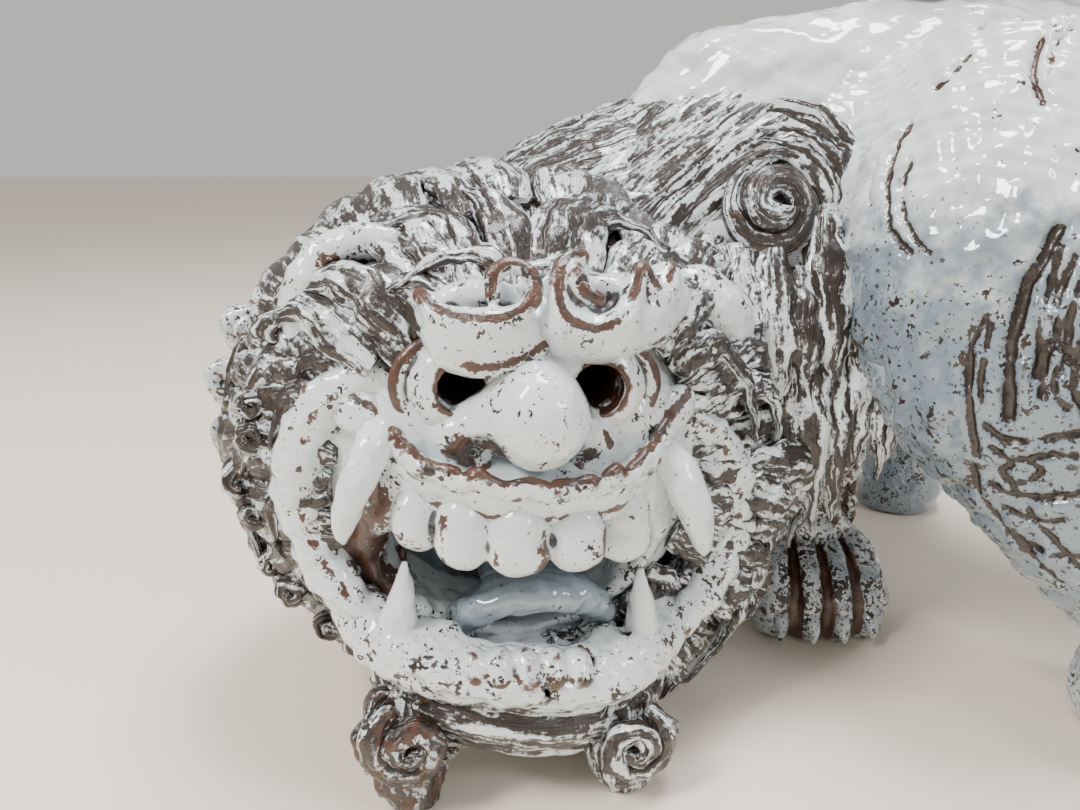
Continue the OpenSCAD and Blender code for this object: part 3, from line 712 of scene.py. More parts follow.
# %% Upper teeth: broad rounded lobes, each worn over at its foot
def lobes(name, places, box, seam=0.5, seed=11, deep=7.4):
    """A row of pressed lobes. Each place is (x, y, top, foot, half width)."""
    teeth = Clay(*box, 0.75)
    for x, y, top, foot, half in places:
        tall = (top - foot) / 2
        teeth.lump((x, y, (top + foot) / 2), (half, deep, tall), seam)
        teeth.lump((x, y - 1.2, foot + half * 0.80), (half * 0.98, deep - 0.4, half * 0.82), 1.5)
    rng = np.random.default_rng(seed)
    for a, b in zip(places[:-1], places[1:]):
        x, y = (a[0] + b[0]) / 2, (a[1] + b[1]) / 2 - deep
        low = min(a[3], b[3])
        wide = 1.6 + 2.0 * rng.random()
        teeth.paint([(x, y, max(a[2], b[2]) - 6), (x + rng.normal(), y, low + 4)], wide, 0.85)
        teeth.paint([(x - 3 * rng.random(), y - 1, low + 6), (x + 1, y - 1, low + 1)], 1.4 + 1.6 * rng.random(), 1.0)
    for x, y, top, foot, half in places:
        teeth.paint([(x - half * 0.5, y - deep, foot + 2.0), (x + half * 0.6, y - deep, foot + 1.6)], 1.3, 0.62)
    return fire(name, teeth, "teeth", in_head=True, lumpy=0.35, seed=seed)


lobes("upper_teeth", [(-30.8, -59.5, 104, 85.0, 7.6), (-19.0, -66.5, 103, 81.6, 7.9), (-4.2, -69.6, 101, 79.4, 8.9),
                      (12.2, -68.0, 100, 78.6, 8.4), (27.4, -60.0, 101, 75.6, 8.6)], ((-42, -84, 68), (40, -46, 110)))

# %% Fangs: smooth cones that curve a little, with a swollen root
def fang_rolls(path, seed):
    return comb(path, turns_around=36, along=44, grooves=0, depth=0.0, flat=0.92, seed=seed, ragged=0.25)


comb_piece("upper_fang_right", [fang_rolls([(-36, -50, 120, 4), (-39.5, -57, 117, 5.2), (-44, -61.5, 110, 5.0), (-48, -63, 101, 4.3),
                                            (-50.6, -62, 93, 3.0), (-50.4, -61, 88.4, 0.8)], 1)], "teeth", True)
comb_piece("upper_fang_left", [fang_rolls([(38, -51, 110, 4), (42, -56, 105, 5.4), (46.5, -60, 97, 5.8), (50.3, -61, 87, 5.0),
                                           (53, -60.5, 78.0, 3.0), (53.4, -60, 74, 0.8)], 2)], "teeth", True)
comb_piece("lower_fang_right", [fang_rolls([(-38.5, -54, 49, 5.8), (-38, -57, 57, 6.6), (-37, -59, 64, 5.2), (-35.6, -60.5, 72, 3.2),
                                            (-34.6, -61, 81, 0.7)], 3)], "teeth", True)
comb_piece("lower_fang_left", [fang_rolls([(37, -54, 40, 5.6), (36.2, -57, 48, 6.0), (35.3, -59, 56, 4.6), (34.4, -60.5, 64, 2.8),
                                           (33.8, -61, 72, 0.7)], 4)], "teeth", True)

# %% Cheek folds: smooth crescents that frame the mouth
def fold(name, path, box, seed):
    cheek = Clay(*box, 1.0)
    cheek.roll(path, 2, count=20)
    cheek.paint(np.array(path)[1:-1, :3] - [0, 7, -2], 1.6, 0.55)
    return fire(name, cheek, "white", in_head=True, lumpy=0.9, seed=seed)


fold("cheek_right", [(-37, -50, 131, 4), (-47, -47, 129, 6.2), (-57, -43, 118, 8), (-62.5, -40, 100, 8.4), (-59.5, -42, 80, 7.6),
                     (-51, -49, 66, 6.4), (-43, -53, 60, 4)], ((-76, -64, 48), (-28, -28, 140)), 21)
fold("cheek_left", [(40, -52, 118, 4), (50, -47, 114, 6.2), (62, -42, 104, 7.6), (70, -38.5, 86, 8.2), (68, -41, 68, 7.6),
                    (60, -48, 54, 6.6), (50, -53, 47, 4.5)], ((32, -66, 36), (82, -26, 124)), 22)

# %% [markdown]
# The jaw is a U-shaped roll with a floor. Blunt teeth and two swollen corners were pressed onto its rim.

# %% Jaw
jaw = Clay((-58, -84, 28), (62, -14, 70), 1.0)
jaw.roll([(-50, -40, 60, 8), (-42, -55, 54, 9), (-24, -66, 49, 9), (1, -69, 45, 9), (24, -66, 41, 9), (40, -55, 43, 9), (52, -42, 48, 8)], 2)
jaw.roll([(-26, -30, 42, 9), (0, -34, 38, 9), (28, -30, 38, 9)], 10)
jaw.lump((-26, -61, 54), (8, 8, 7.5), 3).lump((25, -60, 45), (8, 8, 7.5), 3)
jaw.lump((0, -40, 40), (34, 24, 7), 8)
for k in range(9):
    a = -1.05 + 0.26 * k
    jaw.roll([(60 * math.sin(a), 4 - 74 * math.cos(a), 52 - 4 * a, 1.6), (56 * math.sin(a + 0.05), 1 - 76 * math.cos(a), 45 - 4 * a, 2.0),
              (54 * math.sin(a + 0.16), 2 - 73 * math.cos(a), 37 - 4 * a, 1.4)], 2.0, carve=True)
    jaw.paint([(60 * math.sin(a), 4 - 74 * math.cos(a), 52 - 4 * a), (54 * math.sin(a + 0.16), 2 - 73 * math.cos(a), 37 - 4 * a)], 2.2, 0.8)
fire("lower_jaw", jaw, "jaw", in_head=True, lumpy=0.9, seed=9)

lobes("lower_teeth", [(-17.5, -70, 57.5, 47, 4.6), (-10.2, -71.5, 57.0, 46, 4.4), (-2.8, -72, 56.4, 45.5, 4.5), (4.8, -72, 55.2, 44.5, 4.4),
                      (12.2, -71.2, 53.6, 43, 4.5)], ((-26, -82, 36), (22, -58, 62)), seam=2.0, seed=12, deep=6.0)

# %% Tongue: a strap of clay that arches over its own shadow
tongue = Clay((-32, -72, 40), (40, 6, 80), 1.0)
tongue.roll([(-21, -47, 50, 6), (-14, -54, 60, 7), (2, -57, 65.5, 7.5), (18, -54, 60, 7), (27, -47, 49, 6)], 2, flat=((0, 0.4, 0.9), 0.75))
tongue.roll([(2, -50, 65, 11), (3, -34, 64, 16), (3, -12, 60, 18)], 8, flat=((0, 0, 1), 0.42))
tongue.roll([(2, -66, 72, 1.2), (3, -48, 74.5, 1.4), (3, -26, 73, 1.4)], 2, carve=True)
fire("tongue", tongue, "mouth", in_head=True, lumpy=0.7, seed=10)

# %% [markdown]
# Under the jaw the beard is combed sideways in bands, and two tufts are rolled into curls. The head rests
# on those two curls.

# %% Beard bands
bands = []
for k, (z, y, r) in enumerate([(37.5, -68.5, 5.4), (30.0, -69.5, 6.2), (23.5, -66.0, 5.6)]):
    bands.append(comb([(-46, -46, z + 12, 2), (-38, y + 14, z + 7, r), (-20, y + 4, z + 3, r + 0.6), (1, y, z - 0.5, r + 0.8),
                       (22, y + 4, z - 4, r + 0.6), (38, y + 14, z - 4, r), (46, -48, z, 2)],
                      grooves=6, depth=1.3, flat=0.95, seed=30 + k, along=80))
comb_piece("chin_beard", bands, "mane", True, seed=31)


def coil_path(at, big, small, turns, tube, lift=5.0, start=0.0, hand=1, count=26):
    """A flat spiral facing forwards: its distance from the middle shrinks evenly as it turns, and it rises
    towards the viewer as it closes."""
    s = np.linspace(0, 1, count)
    angle = start + hand * turns * 2 * math.pi * s
    reach = big + (small - big) * s ** 0.8
    return np.stack([at[0] + reach * np.cos(angle), at[1] - lift * s, at[2] + reach * np.sin(angle),
                     tube * (1 - 0.45 * s) * np.clip(s * 8 + 0.3, 0, 1)], 1)


def curl_rolls(at, big, tube, turns=1.6, start=0.0, hand=1, seed=0, lift=5.0, grooves=6, depth=0.9):
    return comb(coil_path(at, big, tube * 0.25, turns, tube, lift, start, hand), grooves=grooves, depth=depth,
                flat=1.0, seed=seed, along=80, turns_around=30)


# %% The two curls that the head rests on
def beard_curl(name, x, z, big, tube, seed, hand, finish):
    stem = comb([(x, -58, z + 12, 9), (x, -62, z, 12.5), (x, -63, z * 0.4, 11.5), (x + 1, -63, 0.6, 8.5)], grooves=11, depth=1.5,
                flat=0.95, face=(0, -1, 0.01), seed=seed, along=50)
    rolls = [stem, curl_rolls((x, -71.5, z), big, tube, 1.7, 1.9 if hand > 0 else 1.2, hand, seed + 1, 4.5)]
    rng = np.random.default_rng(seed)
    for k in range(9):
        a = rng.random() * 6.28
        rolls.append(comb([(x + 9 * math.cos(a), -62, z + 9 * math.sin(a), 3.0), (x + 14 * math.cos(a), -66, z + 14 * math.sin(a), 3.4),
                           (x + 14 * math.cos(a + 0.6), -72, z + 14 * math.sin(a + 0.6), 1.2)], grooves=3, depth=0.5, along=20,
                          turns_around=20, seed=seed + k))
    return comb_piece(name, rolls, finish, True, seed=seed, lumpy=0.8, bare=0.30 if finish == "dark" else 0.0)


beard_curl("beard_curl_right", -37.3, 27, 11.5, 5.6, 41, 1, "dark")
beard_curl("beard_curl_left", 29.5, 20.5, 11, 5.4, 51, -1, "mane")

# %% Ears: a cup on the right, a smooth drooping lobe on the left
ear = Clay((-72, -46, 126), (-20, -6, 176), 0.9)
ear.roll([(-27, -32, 160, 4), (-36, -31, 165.5, 5), (-50, -30, 163, 5.4), (-59, -30, 152, 5.6), (-59.5, -30, 140, 5.4), (-53, -32, 132, 4)], 2)
ear.lump((-43, -24, 150), (16, 8, 15), 3)
ear.lump((-42.5, -36, 149.0), (12.5, 11.0, 11.0), 3, carve=True)
# The inside of the cup is painted dark.
ear.paint([(-48, -27, 155), (-42, -27, 150), (-44, -27, 143)], 9.5, 1.1)
fire("ear_right", ear, "white", in_head=True, lumpy=0.5, seed=13)

ear = Clay((40, -52, 118), (84, -14, 164), 0.9)
ear.roll([(49, -32, 150, 7), (57, -34, 148, 9.0), (66, -34, 142, 9.0), (72, -33, 136, 5.5), (74, -32, 131, 2.0)], 3, flat=((0, 1, 0), 0.75))
ear.roll([(54, -44, 147, 1.6), (62, -45, 142, 1.8), (68, -43, 136, 1.4)], 3, carve=True)
fire("ear_left", ear, "white", in_head=True, lumpy=0.5, seed=14)

# %% [markdown]
# ## Mane
# The base of the mane is a bowl of clay round the back of the skull, combed outwards from the face. Its
# radius is worked out from two angles: round the face, and back from the face.
# Rolls of combed hair are then laid over it, each its own form, in rows that overlap like tiles.

# %% Base of the mane
SKULL = np.array([0, 0, 97.0])


def on_head(turn, back, r):
    """A point near the skull in head coordinates: `turn` degrees round the face from the top towards the
    animal's left, `back` degrees away from straight ahead, r from the skull's middle."""
    t, b = np.radians(turn), np.radians(back)
    return np.stack([r * np.sin(t) * np.sin(b), -r * np.cos(b), 97 + r * np.cos(t) * np.sin(b)], -1)


def combed_bowl():
    """Radius = 80 + strands: a sine wave round the face, 96 strands, whose phase wanders with the angle back,
    sharpened so that its valleys are narrow."""
    around, rows, inner_rows = int(640 / FINE), int(126 / FINE), 6
    turn = np.linspace(0, 360, around, endpoint=False)[None]
    back = np.linspace(68, 180, rows)[:, None]
    p0 = on_head(turn + 0 * back, back + 0 * turn, 80.0).reshape(-1, 3)
    drift = (wobble(p0, 60, 5) * 3.0 + wobble(p0, 22, 6) * 0.9).reshape(rows, around)
    wave = np.abs(np.sin(np.radians(turn) * 44 + drift + back * 0.035))
    wave2 = np.abs(np.sin(np.radians(turn) * 17 - drift * 0.6 + back * 0.05))
    groove = np.clip(1 - wave ** 0.6 + 0.6 * (1 - wave2 ** 0.4), 0, 1) * np.clip((176 - back) / 30, 0, 1)
    r = 80.5 + wobble(p0, 30, 7).reshape(rows, around) * 1.2 - 1.7 * groove
    outer = on_head(turn + 0 * back, back + 0 * turn, r).reshape(-1, 3)
    back = np.linspace(180, 68, inner_rows)[:, None]
    inner = on_head(turn + 0 * back, back + 0 * turn, 70.0 + 0 * back * turn).reshape(-1, 3)
    return np.vstack([outer, inner]), np.concatenate([groove.ravel(), np.zeros(len(inner))]), rows + inner_rows, around


p, g, rows, around = combed_bowl()
quads = grid_faces(rows, around)
k = np.arange(around)
n = (k + 1) % around
quads = np.vstack([quads, np.stack([(rows - 1) * around + k, (rows - 1) * around + n, n, k], 1)])
t = np.arctan2(p[:, 0], p[:, 2] - 97)
make_piece("mane_ruff", p, quads, "mane", in_head=True, groove=g,
           strand=np.stack([80 * np.sin(t), 80 * np.cos(t), p[:, 1] * 0.1], 1))


# %% Locks laid over the head
def head_lock(turn, back, r, sweep, wide, seed, curl=0.0, grooves=6, depth=0.9, flat=0.6):
    """A combed lock over the skull: it starts at the first angle back and first radius, ends at the second,
    and swings round the face by `sweep` degrees as the square of its length. `curl` hooks its tip."""
    s = np.linspace(0, 1, 9)
    t = turn + sweep * s ** 2 + curl * 16 * np.clip(s - 0.55, 0, 1) ** 2 / 0.2
    b = back[0] + (back[1] - back[0]) * (s - abs(curl) * 0.30 * np.clip(s - 0.55, 0, 1) ** 2 / 0.2)
    rr = r[0] + (r[1] - r[0]) * np.sin(s * math.pi / 2) + abs(curl) * 4 * np.clip(s - 0.5, 0, 1)
    width = wide * (0.62 + 0.5 * np.sin(math.pi * s ** 0.8)) * (1 - 0.80 * s ** 4)
    at = on_head(t, b, rr)
    out = smooth_path(at - SKULL, max(int(46 / FINE), 12))
    return comb(np.concatenate([at, width[:, None]], 1), along=46, grooves=grooves, depth=depth, flat=flat, face=out, seed=seed)


def row(turns, back, r, sweep, wide, seed, curl=0.3):
    """Locks at the given turns, each a little off in place, length, width and the way that it curls."""
    rng = np.random.default_rng(seed + 50)
    locks = []
    for i, turn in enumerate(turns):
        side = 1 if turn > 0 else -1
        j = np.clip(rng.normal(size=6), -1.4, 1.4)
        locks.append(head_lock(turn + 2.0 * j[0], (back[0] + 2.0 * j[1], back[1] + 4 * j[2]), (r[0], r[1] + 1.3 * j[3]),
                               side * sweep * (1 + 0.5 * j[0]), wide * (1 + 0.22 * np.clip(j[1], -1.5, 1.5)), seed * 20 + i,
                               side * curl * (1 + 0.8 * j[4])))
    return locks


def spread(a, b, count, side=1):
    return [side * t for t in np.linspace(a, b, count)]


def knob(turn, back, r, big, tube, seed, hand=1):
    at = on_head(np.array(turn), np.array(back), np.array(r))
    return curl_rolls(at, big, tube, 1.5, seed * 1.3, hand, seed, 4.0, grooves=4, depth=0.5)


# %% Crown, sides, beard and nape
comb_piece("crown_locks", row(spread(-44, 42, 11), (46, 76), (75, 86), 7, 7.0, 2, 0.5)
           + row(spread(-38, 38, 10), (40, 62), (73, 82), 5, 5.2, 3, 0.6), "mane", True, seed=61, lumpy=0.8)
for side, name, flare in ((-1, "right", 0), (1, "left", 1)):
    locks = row(spread(50, 150, 13, side), (66, 92), (77, 87 + 12 * flare), 8, 7.6, 5 + side, 0.5)
    locks += row(spread(46, 146, 14, side), (57, 80), (75, 83 + 9 * flare), 7, 6.4, 8 + side, 0.6)
    locks += row(spread(54, 140, 13, side), (48, 66), (72, 80 + 5 * flare), 5, 4.8, 30 + side, 0.6)
    if side > 0:
        locks += row(spread(92, 146, 9), (62, 88), (84, 113), 5, 7.8, 44, 0.6)
        locks += row(spread(100, 150, 8), (56, 76), (78, 104), 5, 6.4, 47, 0.7)
    if side < 0:
        rng = np.random.default_rng(77)
        for k in range(9):
            locks.append(knob(-58 - 10 * k + 3 * rng.normal(), 66 + 9 * rng.random(), 84 + rng.random(), 4.2, 3.2, 90 + k,
                              1 if k % 2 else -1))
    comb_piece(f"mane_locks_{name}", locks, "dark" if side < 0 else "mane", True, seed=62 + side, lumpy=0.9)
    comb_piece(f"mane_back_{name}", row(spread(50, 150, 11, side), (84, 122), (80, 88 + 8 * flare), 14, 8.6, 11 + side, 0.4)
               + row(spread(58, 142, 8, side), (116, 152), (80, 84 + 4 * flare), 14, 9.6, 14 + side, 0.3), "mane", True, seed=65 + side)
    comb_piece(f"beard_locks_{name}", row(spread(140, 170, 5, side), (52, 84), (75, 84), 7, 7, 17 + side, 0.5)
               + row(spread(142, 170, 5, side), (44, 66), (73, 80), 5, 5.4, 20 + side, 0.6), "mane", True, seed=68 + side, lumpy=0.8)
comb_piece("nape_locks", row(spread(-48, 48, 11), (70, 104), (81, 87.5), 10, 8.4, 23, 0.4)
           + row(spread(-42, 42, 8), (98, 136), (81, 86), 10, 10, 26, 0.3), "mane", True, seed=71)

# %% Knobs: small tight curls along the edges of the mane
comb_piece("mane_curls_right", [knob(-66, 97, 90, 6.2, 4.8, 1), knob(-58, 84, 85, 6.0, 4.6, 2, -1), knob(-76, 92, 92, 6.0, 4.8, 3),
                                knob(-88, 95, 89, 5.6, 4.4, 4, -1), knob(-102, 94, 88, 5.6, 4.4, 5)], "leg", True, seed=74)
comb_piece("mane_curls_left", [knob(62, 96, 90, 5.4, 4.0, 6), knob(80, 95, 90, 5.4, 4.2, 7, -1), knob(100, 94, 92, 5.6, 4.2, 8),
                               knob(116, 92, 90, 5.6, 4.2, 9, -1)], "mane", True, seed=75)

# %% [markdown]
# ## Body and legs
# The body is one long roll. Each leg is its own lump, but where it meets the body it is smoothed out over it:
# the leg's clay is blended into a body drawn half a millimetre too thin, and only that fillet is kept.

# %% Body coordinates and the spine
BODY = centre("torso") * [1, 1, 0] - [34.3, 7.0, 0]
VIEW = HEAD + [15, -268, 188]                       # where somebody looking at the face stands
SPINE = np.array([(-92, 8, 112, 14), (-80, 8, 122, 36), (-50, 12, 142, 53), (-12, 12, 163, 57), (30, 8, 178, 54.5),
                  (75, 2, 186, 55), (115, -2, 180, 53), (146, -4, 165, 35), (160, -4, 152, 13)], float)
print("body shifted by", BODY.round(1))


def body_piece(name, clay, finish, relax=10, **more):
    return fire(name, clay, finish, shift=BODY, relax=relax, **more)


def body_comb(name, rolls, finish, **more):
    return comb_piece(name, rolls, finish, shift=BODY, **more)


def scratch(clay, points, width=1.0, strength=1.0, from_side=None):
    """Presses a line into the clay. Its (x, z) points stand on the plane y = -60 and are carried away from the
    viewer until they meet the clay. With `from_side` they are carried along Y instead."""
    path = smooth_path(points, 5 * len(points))
    start = np.stack([path[:, 0], np.full(len(path), -60.0), path[:, 1]], 1)
    way = (start - (VIEW - BODY)) if from_side is None else np.tile([0.0, -from_side, 0.0], (len(path), 1))
    way /= np.linalg.norm(way, axis=1, keepdims=True)
    if from_side is not None:
        start[:, 1] = from_side * 150.0
    t = np.linspace(-110, 200, 1241) if from_side is None else np.linspace(0, 200, 801)
    p = start[:, None] + t[None, :, None] * way[:, None]
    i = [np.clip(((p[..., a] - clay.axes[a][0]) / clay.step).round().astype(int), 0, len(clay.axes[a]) - 1) for a in range(3)]
    inside = clay.f[i[0], i[1], i[2]] < 0
    for a in range(3):
        inside &= (p[..., a] > clay.axes[a][0]) & (p[..., a] < clay.axes[a][-1])
    hit = inside.any(1)
    if hit.sum() < 3:
        print("a line met no clay", points[0])
        return clay
    at = p[np.arange(len(p)), inside.argmax(1)][hit]
    s = np.linspace(0, 1, len(at))
    size = width * (0.45 + 0.75 * np.sin(math.pi * s) ** 0.7)
    if width > 1.05:
        ridge = at + [2.3, 0, 0] + 0.6 * way[hit]
        clay.roll(np.concatenate([ridge, 1.25 * size[:, None]], 1), 2.0, count=2 * len(at))
    clay.paint(at, width * 0.85, strength * 1.35, cut=1.3 * width)
    return clay


# %% Torso
torso = Clay((-104, -62, 84), (174, 76, 246), 1.9)
torso.roll(SPINE, 1, count=60)
torso.lump((82, 0, 226), (34, 20, 12), 22).lump((20, -6, 222), (50, 22, 12), 24)
torso.roll([(126, -3, 214, 24), (140, -3, 196, 26), (146, -3, 178, 22)], 18)
for side in (-1, 1):
    torso.roll([(-26, 12 + side * 46, 146, 18), (-6, 10 + side * 44, 160, 16)], 20)
body_piece("torso", torso, "body", lumpy=0.9, seed=21)


# %% Legs
def leg(name, box, rolls, finish, step=1.15, blend=6, fillet=20, lines=(), tuck=0.7, lumps=(), side_lines=None, **more):
    """The leg's own rolls, blended with a thinner body and cut free from the rest of the body."""
    clay = Clay(*box, step)
    for points in rolls:
        clay.roll(points, blend, count=40)
    for at, radii in lumps:
        clay.lump(at, radii, blend * 2)
    own = clay.f.copy()
    body = Clay(*box, step)
    body.roll(SPINE - [0, 0, 0, tuck], 1, count=32)
    clay._blend((slice(None),) * 3, body.f, fillet, False)
    clay.f = np.maximum(np.maximum(clay.f, own - fillet * 0.72), -(body.f + 5.0))
    for points, width, strength in lines:
        scratch(clay, points, width, strength)
    for points, width, strength in (side_lines or ()):
        scratch(clay, points, width, strength, from_side=1)
    return body_piece(name, clay, finish, **more)


HAUNCH_LINES = [
    ([(36, 198), (32, 190), (31, 180), (32, 171), (36, 163), (41, 158)], 1.3, 1.0),
    ([(38, 187), (36, 179), (38, 170), (43, 162), (48, 158)], 1.0, 0.9),
    ([(27, 187), (26, 178), (27, 170)], 0.7, 0.7),
    ([(43, 209), (46, 211), (49, 215), (52, 218)], 1.0, 1.1),
    ([(80, 229), (74, 224), (72, 217), (73, 211), (77, 205)], 1.2, 1.0),
    ([(82, 226), (78, 220), (78, 213)], 0.8, 0.8),
    ([(70, 136), (67, 125), (68, 111), (71, 98), (75, 86)], 1.2, 1.0),
    ([(72, 134), (72, 124), (72, 114), (74, 103)], 0.8, 0.9),
    ([(90, 166), (86, 156), (82, 145), (81, 132), (82, 117), (84, 100)], 1.8, 1.1),
    ([(92, 160), (90, 146), (89, 135), (91, 124), (91, 116)], 1.2, 1.0),
    ([(97, 157), (94, 146), (94, 135), (97, 126)], 1.3, 1.0),
    ([(104, 158), (100, 146), (99, 134), (101, 122)], 1.1, 1.0),
    ([(100, 121), (98, 116), (99, 109), (105, 103)], 1.3, 1.0),
    ([(110, 150), (107, 138), (106, 124), (108, 112)], 1.3, 1.0),
    ([(76, 97), (84, 92), (95, 92), (112, 95)], 1.4, 1.0),
    ([(80, 89), (87, 85), (98, 86), (113, 87)], 1.1, 1.0),
    ([(94, 84), (99, 81), (96, 77), (89, 76), (85, 80), (88, 83)], 1.1, 1.0),
    ([(82, 75), (93, 71), (104, 70), (117, 72)], 1.4, 1.0),
    ([(88, 66), (98, 62), (110, 61)], 1.0, 1.0),
    ([(100, 51), (110, 47), (121, 47)], 1.3, 1.0),
    ([(74, 82), (80, 70), (90, 58), (104, 43)], 1.1, 1.0),
    ([(104, 112), (110, 104), (113, 96)], 1.2, 1.0),
    ([(116, 150), (114, 136), (113, 120)], 1.4, 1.0),
    ([(94, 128), (93, 118), (95, 108)], 1.2, 1.0),
    ([(107, 134), (104, 122), (105, 112)], 1.0, 1.0),
    ([(86, 80), (96, 66), (108, 54), (120, 42)], 1.0, 0.9),
    ([(92, 58), (102, 47), (114, 36)], 1.1, 0.9),
]


def hind_rolls(side):
    out = -side
    top = np.array([72, -46, 170.0]) if side > 0 else np.array([80, 50, 166.0])
    foot = np.array([128, -104, 0.0]) if side > 0 else np.array([122, 104, 0.0])
    knee = np.array([top[0] - 2, top[1] + 32 * out, 124.0])
    shank = np.array([(knee[0] + foot[0]) / 2 - 1, (knee[1] + foot[1]) / 2 + 2 * out, 76.0])
    thigh = [[*(top + [6, 0, 40]), 18], [*(top + [6, 6 * out, 26]), 41], [*(top + [0, 14 * out, -10]), 50.5], [*knee, 37]]
    lower = [[*knee, 36], [*shank, 24.5], [*(foot + [0, -4 * out, 42]), 19], [*(foot + [0, -4 * out, 24]), 20]]
    return [np.array(thigh, float), np.array(lower, float)]


leg("hind_leg_left", ((14, -132, 18), (158, -8, 226)), hind_rolls(1), "haunch", lines=HAUNCH_LINES, lumpy=0.9, seed=31,
    fillet=26)
leg("hind_leg_right", ((14, 8, 18), (158, 132, 226)), hind_rolls(-1), "haunch", step=1.5, lumpy=0.9, seed=32, fillet=26,
    side_lines=[([(36, 196), (31, 182), (34, 166), (44, 156)], 1.3, 1.0), ([(42, 190), (38, 178), (44, 164)], 1.0, 0.9),
                ([(90, 160), (84, 140), (84, 110)], 1.6, 1.0), ([(98, 152), (94, 134), (97, 112)], 1.3, 1.0),
                ([(78, 94), (92, 88), (110, 92)], 1.4, 1.0), ([(84, 74), (98, 70), (114, 74)], 1.4, 1.0)])


def front_rolls(side):
    top = np.array([16, -34, 150.0]) if side > 0 else np.array([-52, 40, 128.0])
    foot = np.array([34, -16, 0.0]) if side > 0 else np.array([-76, 52, 0.0])
    middle = (top + foot) / 2 + [2, 2 * side, 10]
    return [np.array([[*(top + [0, 0, 14]), 14], [*top, 27.5], [*middle, 21.5], [*(foot + [0, 8, 48]), 17.5],
                      [*(foot + [0, 8, 26]), 19]], float)]


# The front legs take the dark leg glaze: partly their own dark brown, partly painted shade where they stand under the
# head and mane.
leg("front_leg_left", ((-24, -76, 16), (72, 22, 186)), front_rolls(1), "leg", lumpy=1.2, seed=33, fillet=14,
    lines=[([(22 + 7 * k, 92), (23 + 7 * k, 74), (25 + 6 * k, 54)], 1.2, 0.9) for k in range(4)])
leg("front_leg_right", ((-112, 6, 16), (-8, 92, 164)), front_rolls(-1), "leg", step=1.5, lumpy=1.2, seed=34, fillet=14)


# %% Paws: a heel, four fat toes that curl over, and a pad under each
def paw(node_paw, node_claws, foot, turn, finish, claw_finish, seed, fat=1.0, step=0.95):
    c, s = math.cos(math.radians(turn)), math.sin(math.radians(turn))
    spin = np.array([[c, s, 0], [-s, c, 0], [0, 0, 1.0]])

    def put_at(p):
        p = np.atleast_2d(np.asarray(p, float))
        out = p.copy()
        out[:, :3] = p[:, :3] @ spin + foot
        return out

    clay = Clay(foot - [46, 46, 3], foot + [46, 46, 48], step)
    clay.lump(put_at([0, 9, 15])[0], (24, 20, 22), 4)
    clay.roll(put_at([(0, 8, 14, 22), (0, 8, 38, 19)]), 4)
    for k in range(4):
        toe = (k + 0.5) / 4 - 0.5
        y = 20 * toe ** 2
        clay.roll(put_at([(toe * 38, 2 + y, 29, 8.5 * fat), (toe * 42, -10 + y, 27, 9.4 * fat), (toe * 45, -20 + y, 18, 9.6 * fat),
                          (toe * 46, -22 + y, 9, 9.0 * fat)]), 1.6)
    for k in range(3):
        toe = (k + 1) / 4 - 0.5
        y = 20 * toe ** 2
        clay.roll(put_at([(toe * 38, -2 + y, 40, 1.4), (toe * 44, -18 + y, 32, 1.5), (toe * 47, -31 + y, 20, 1.7),
                          (toe * 48, -32 + y, 4, 2.0)]), 1.5, carve=True)
        clay.paint(put_at([(toe * 38, -2 + y, 37), (toe * 44, -18 + y, 30), (toe * 47, -29 + y, 18), (toe * 48, -30 + y, 4)]),
                   2.6, 1.0)
    clay.floor(0.0)
    body_piece(node_paw, clay, finish, lumpy=0.5, seed=seed)
    claws = []
    for k in range(4):
        toe = (k + 0.5) / 4 - 0.5
        y = 20 * toe ** 2
        claws.append(comb(put_at([(toe * 46, -24 + y, 12.5, 3.6), (toe * 47, -31 + y, 12.0, 3.2), (toe * 48, -34.5 + y, 8.0, 2.2),
                                  (toe * 49, -35 + y, 3.6, 0.5)]), turns_around=24, along=24, grooves=0, depth=0, flat=1.0,
                          face=np.array([[0, 0, 1.0]]) @ spin, seed=k, ragged=0.3))
    body_comb(node_claws, claws, claw_finish, lumpy=0.15, seed=seed)


paw("front_paw_left", "front_claws_left", np.array([34, -16, 0.0]), 0, "leg", "leg", 41, 1.15)
paw("front_paw_right", "front_claws_right", np.array([-76, 52, 0.0]), 0, "leg", "leg", 42, step=1.3)
paw("hind_paw_left", "hind_claws_left", np.array([128, -104, 0.0]), 6, "leg", "leg", 43)
paw("hind_paw_right", "hind_claws_right", np.array([122, 104, 0.0]), 176, "haunch", "leg", 44, step=1.3)


# %% [markdown]
# ## Long hair
# The hair on the shoulders lies in long locks that run back from the head and turn up at their tips, over a
# base that is itself combed. One big spiral curl closes it on each shoulder.

# %% Locks over the shoulders
def on_back(x, turn, lift):
    """A point on the body: `turn` degrees from the top towards the animal's left, `lift` above the surface."""
    line = smooth_path(SPINE, 80)
    i = np.clip(np.searchsorted(line[:, 0], x), 1, 79)
    u = ((x - line[i - 1, 0]) / (line[i, 0] - line[i - 1, 0] + 1e-9))[:, None]
    c = line[i - 1] * (1 - u) + line[i] * u
    t, r = np.radians(turn), c[:, 3] + lift
    return np.stack([x, c[:, 1] - r * np.sin(t), c[:, 2] + r * np.cos(t)], 1), c[:, :3]


